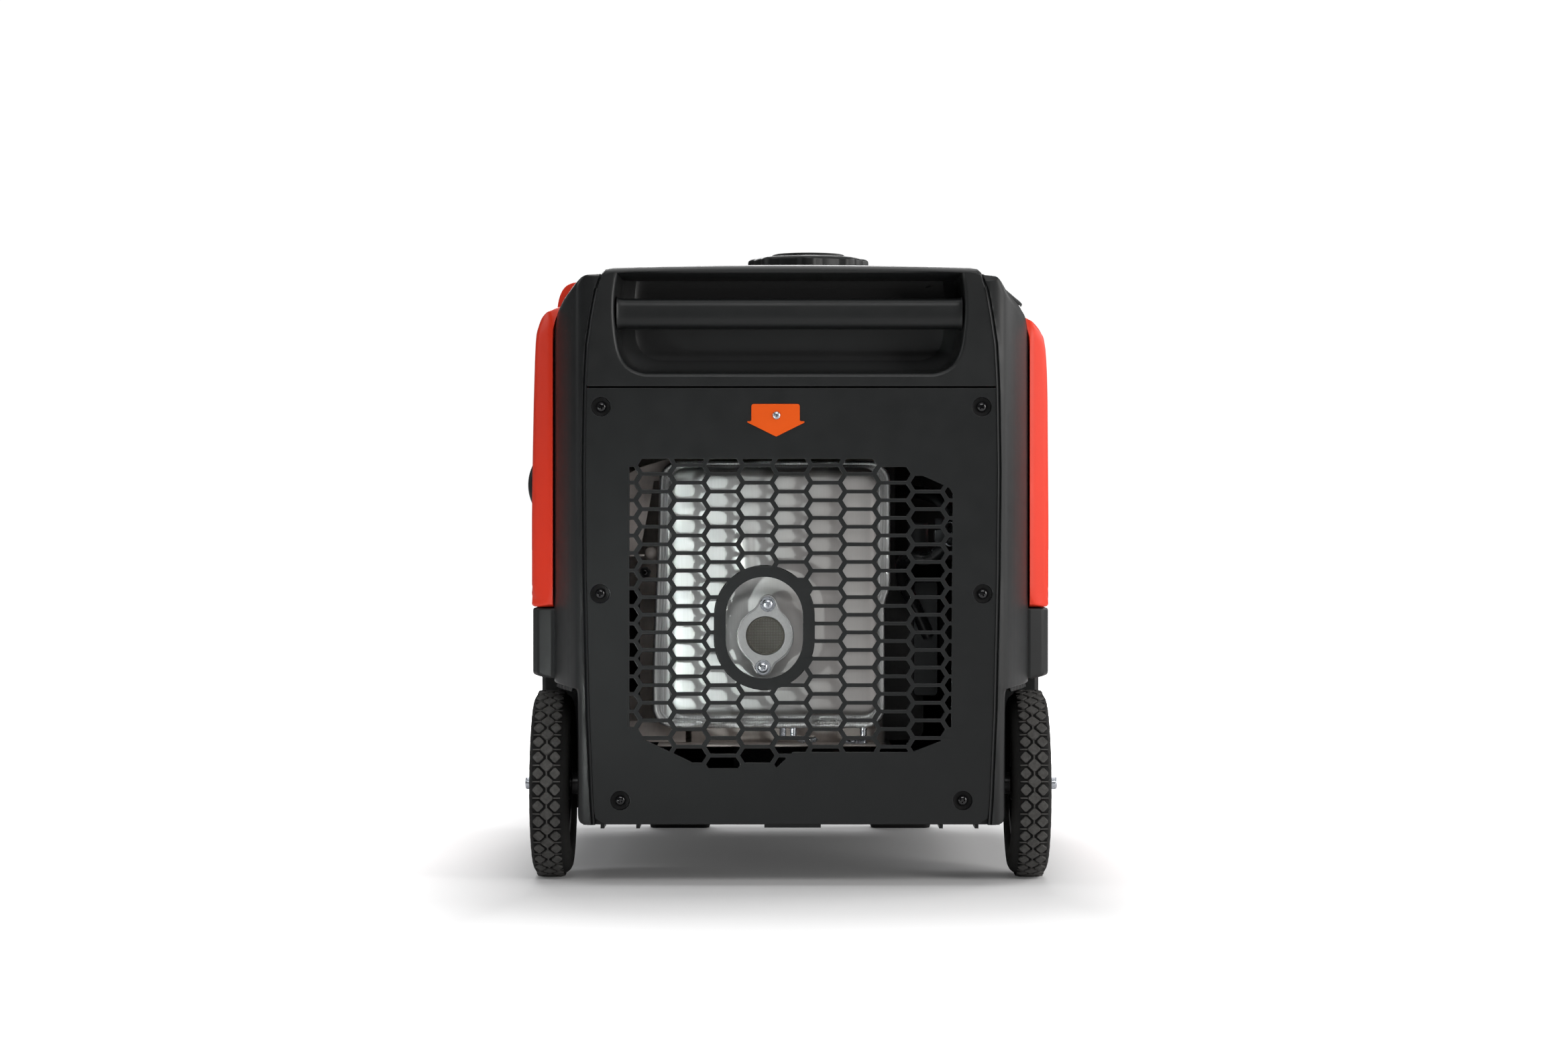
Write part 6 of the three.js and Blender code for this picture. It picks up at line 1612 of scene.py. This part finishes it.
def side_plates():
    """Heat-shield flanges seen beside and below the muffler."""
    S = Shape()
    S.add(plate([(-135.2, 336.3), (-125.8, 341.2), (-113.6, 345.1), (-101.9, 348.4), (-98, 345.1), (-100.8, 338.5), (-108, 330.2), (-113.6, 330.2), (-116.3, 314.6), (-120.2, 296.3), (-123.6, 279.7), (-126.9, 271.9), (-135.2, 270.8)][::-1], [], "y", -246.6, -248, 0.3, 2, 0.2))
    S.add(plate([(-136, 131.6), (-87.5, 131.6), (-87.5, 114), (-122, 114), (-136, 122)][::-1], [], "y", -242.6, -244, 0.3, 2, 0.2))
    S.add(plate([(-83, 125.4), (78, 125.4), (78, 111), (-83, 111)][::-1], [], "y", -236.6, -238, 0.3, 2, 0.2))
    S.add(lathe([(0, -252.4), (2.6, -252.0), (4.4, -250.6), (5.2, -248.6), (5.4, -245.8), (0, -245.8)], "y", (-115.8, 0, 270.5), 28))
    return S
piece("heat_shield_flanges", side_plates(), M["shield"], H, angle=40)
def hexbolt(x, y, z, r, h):
    rings = []
    for f, dy in ((0.98, h), (1.0, h * 0.9), (1.0, h * 0.22), (0.93, 0.0), (0.62, 0.0), (0.5, 0.5)):
        rings.append([(x + r * f * math.cos(math.pi * k / 3 + 0.2), y + dy, z + r * f * math.sin(math.pi * k / 3 + 0.2)) for k in range(6)])
    return loft(rings)
def small_bolts():
    S = Shape()
    S.add(hexbolt(-120.8, -254, 254.7, 5.0, 7))
    S.add(lathe([(0, -255), (2.1, -254.6), (2.6, -253.2), (2.6, -247)], "y", (-120.8, 0, 254.7), 20))
    return S
piece("shield_bolt", small_bolts(), M["gloss"], H, angle=35)
def muffler_fixings():
    """Bright studs and a crimped clip under the muffler's seam."""
    S = Shape()
    for x in (-7.1, 1.7, 59.5):
        S.add(lathe([(0, 117.6), (1.9, 117.8), (2.5, 118.6), (2.7, 120), (2.7, 127.0), (2.2, 128.4), (0, 128.6)], "z", (x, -257, 0), 20))
    for x0, x1, z in ((42.6, 60.9, 114.6), (5.6, 20.0, 116.8)):
        m = 22
        path = [(x0 + (x1 - x0) * i / m, -257.5 - 0.8 * math.sin(i * 1.7), z + 0.9 * math.sin(i * 2.3 + 0.6)) for i in range(m + 1)]
        S.add(sweep(path, [2.0 + 0.5 * math.sin(i * 2.9) for i in range(m + 1)], 12))
    return S
piece("muffler_fixings", muffler_fixings(), M["zinc"], H, angle=40)
def hose_fittings():
    S = Shape()
    for x, z, R in ((131.6, 291.6, 4.6), (131.9, 281.0, 4.4)):
        S.add(lathe([(R + 0.7 * math.cos(t), -239.5 + 0.7 * math.sin(t)) for t in np.linspace(0, 2 * math.pi, 11)], "y", (x, 0, z), 32))
    return S
piece("hose_clamp_rings", hose_fittings(), M["zinc"], H, angle=40)
def fuel_fittings():
    S = Shape()
    S.add(plate(round_poly(rect(119.5, 125.5, 293.5, 299.5), 1.4, 4), [], "y", -226, -234, 0.7, 2, 0.3))
    S.add(plate(round_poly(rect(119.0, 127.6, 279.5, 290.5), 2.2, 4), [], "y", -226, -236, 0.9, 2, 0.3))
    S.add(plate(round_poly(rect(103.5, 123.5, 150, 246), 3, 5), [], "y", -186, -192, 0.8, 2, 0.3))
    S.add(lathe([(0, 296), (8, 296), (8.6, 295.4), (8.6, 276), (8, 275.2), (0, 275.2)], "z", (106.5, -205, 0), 32))
    return S
piece("fuel_line_fittings", fuel_fittings(), M["grey"], H, angle=40)
piece("breather_hose_tube", Shape().add(sweep(hose, 5.5, 20)), M["hose"], H, "breather_hose", 40)

# ------------------------------------------------------------------ floor, light, view
def floor_material():
    k = NT("pale_floor")
    sep = k.n("ShaderNodeVectorMath", operation="LENGTH")
    k.l(k.tc.outputs["Object"], sep.inputs[0])
    k.l(k.mix(k.noise(3.0, 2.0), (0.90, 0.90, 0.905), (0.93, 0.93, 0.93)), k.b.inputs["Base Color"])
    k.set(Roughness=0.9, Specular_IOR_Level=0.1)
    k.b.inputs["Emission Color"].default_value = (1, 1, 1, 1)
    lpn = k.n("ShaderNodeLightPath")
    sx = k.n("ShaderNodeSeparateXYZ")
    k.l(k.tc.outputs["Object"], sx.inputs[0])
    # The floor glows to the camera only, faintly under and beside the object and fully far off: the extent of the
    # shadow round the object is painted.
    aside = k.rng(k.math("ABSOLUTE", sx.outputs[0]), 0.0, 0.62, 0.208, 0.375)
    ahead = k.rng(sx.outputs[1], 0.32, 0.0, -0.78, -0.36)
    far = k.rng(sep.outputs["Value"], 0.06, 0.97, 0.5, 1.6)
    k.l(k.math("MULTIPLY", k.math("ADD", far, k.math("MAXIMUM", aside, ahead)), lpn.outputs["Is Camera Ray"]), k.b.inputs["Emission Strength"])
    k.l(k.bump(k.noise(400.0, 2.0), 0.02, 0.00002), k.b.inputs["Normal"])
    return k.m
bm = bmesh.new()
bmesh.ops.create_circle(bm, cap_ends=True, radius=40.0, segments=96)
me = bpy.data.meshes.new("studio_floor")
bm.to_mesh(me); bm.free()
fl = bpy.data.objects.new("studio_floor", me)
bpy.context.scene.collection.objects.link(fl)
me.materials.append(floor_material())

def area(name, loc, target, sx, sy, power, col=(1, 1, 1)):
    L = bpy.data.lights.new(name, "AREA")
    L.shape = "RECTANGLE"
    L.size, L.size_y = sx, sy
    L.energy = power
    L.color = col
    o = bpy.data.objects.new(name, L)
    bpy.context.scene.collection.objects.link(o)
    o.location = loc
    o.visible_camera = False
    o.rotation_euler = (Vector(target) - Vector(loc)).to_track_quat("-Z", "Y").to_euler()
    return o
area("overhead_softbox", (0, 0.9, 3.0), (0, 0, 0.1), 2.6, 2.6, 26)
area("top_near_strip", (0.0, -0.62, 1.25), (0, -0.30, 0.45), 1.0, 0.3, 1.6)
area("front_softbox", (0.2, -3.4, 2.35), (0, -0.28, 0.3), 2.0, 0.8, 27)
area("left_softbox", (-2.8, -0.5, 1.55), (-0.1, 0.0, 0.25), 1.2, 1.5, 15, (0.97, 0.985, 1.0))
area("back_softbox", (-0.3, 3.1, 1.7), (0, 0.3, 0.25), 2.2, 1.2, 46)
area("right_back_softbox", (2.3, 0.9, 1.35), (0.1, -0.1, 0.3), 1.5, 1.5, 19, (1.0, 0.99, 0.985))
area("right_softbox", (2.6, -0.4, 0.9), (0.1, -0.1, 0.3), 1.2, 1.5, 13, (1.0, 0.99, 0.985))
area("right_front_softbox", (2.2, -1.9, 0.9), (0.1, -0.2, 0.25), 0.9, 1.3, 26, (1.0, 0.985, 0.97))
key = area("low_key", (-0.74, -1.22, 0.026), (-0.025, -0.28, 0.245), 0.055, 0.055, 0.115, (0.95, 1.0, 0.985))
key.data.spread = math.radians(23)

w = bpy.data.worlds.new("studio")
bpy.context.scene.world = w
w.use_nodes = True
nt = w.node_tree
nt.nodes.clear()
out = nt.nodes.new("ShaderNodeOutputWorld")
bg1, bg2 = nt.nodes.new("ShaderNodeBackground"), nt.nodes.new("ShaderNodeBackground")
mix = nt.nodes.new("ShaderNodeMixShader")
lp = nt.nodes.new("ShaderNodeLightPath")
tc = nt.nodes.new("ShaderNodeTexCoord")
sp = nt.nodes.new("ShaderNodeSeparateXYZ")
nt.links.new(tc.outputs["Generated"], sp.inputs[0])
mr = nt.nodes.new("ShaderNodeMapRange")
mr.inputs["From Min"].default_value, mr.inputs["From Max"].default_value = -0.25, 0.75
mr.inputs["To Min"].default_value, mr.inputs["To Max"].default_value = 0.03, 0.17
# brighter behind, above and to the right, as in a room with one bright side
def wm(op, a, b):
    x = nt.nodes.new("ShaderNodeMath")
    x.operation = op
    for i, v in enumerate((a, b)):
        if isinstance(v, (int, float)): x.inputs[i].default_value = v
        else: nt.links.new(v, x.inputs[i])
    return x.outputs[0]
mixd = wm("ADD", wm("MULTIPLY", sp.outputs[0], 0.52), wm("ADD", wm("MULTIPLY", sp.outputs[1], 0.46), wm("MULTIPLY", sp.outputs[2], 0.42)))
nt.links.new(mixd, mr.inputs["Value"])
nt.links.new(mr.outputs[0], bg1.inputs["Strength"])
bg1.inputs["Color"].default_value = (1, 1, 1, 1)
bg2.inputs["Color"].default_value = (1, 1, 1, 1)
bg2.inputs["Strength"].default_value = 1.05
nt.links.new(lp.outputs["Is Camera Ray"], mix.inputs[0])
nt.links.new(bg1.outputs[0], mix.inputs[1])
nt.links.new(bg2.outputs[0], mix.inputs[2])
nt.links.new(mix.outputs[0], out.inputs[0])

bpy.context.scene.view_settings.view_transform = "Standard"
bpy.context.scene.view_settings.look = "None"
bpy.context.scene.view_settings.exposure = 0.0
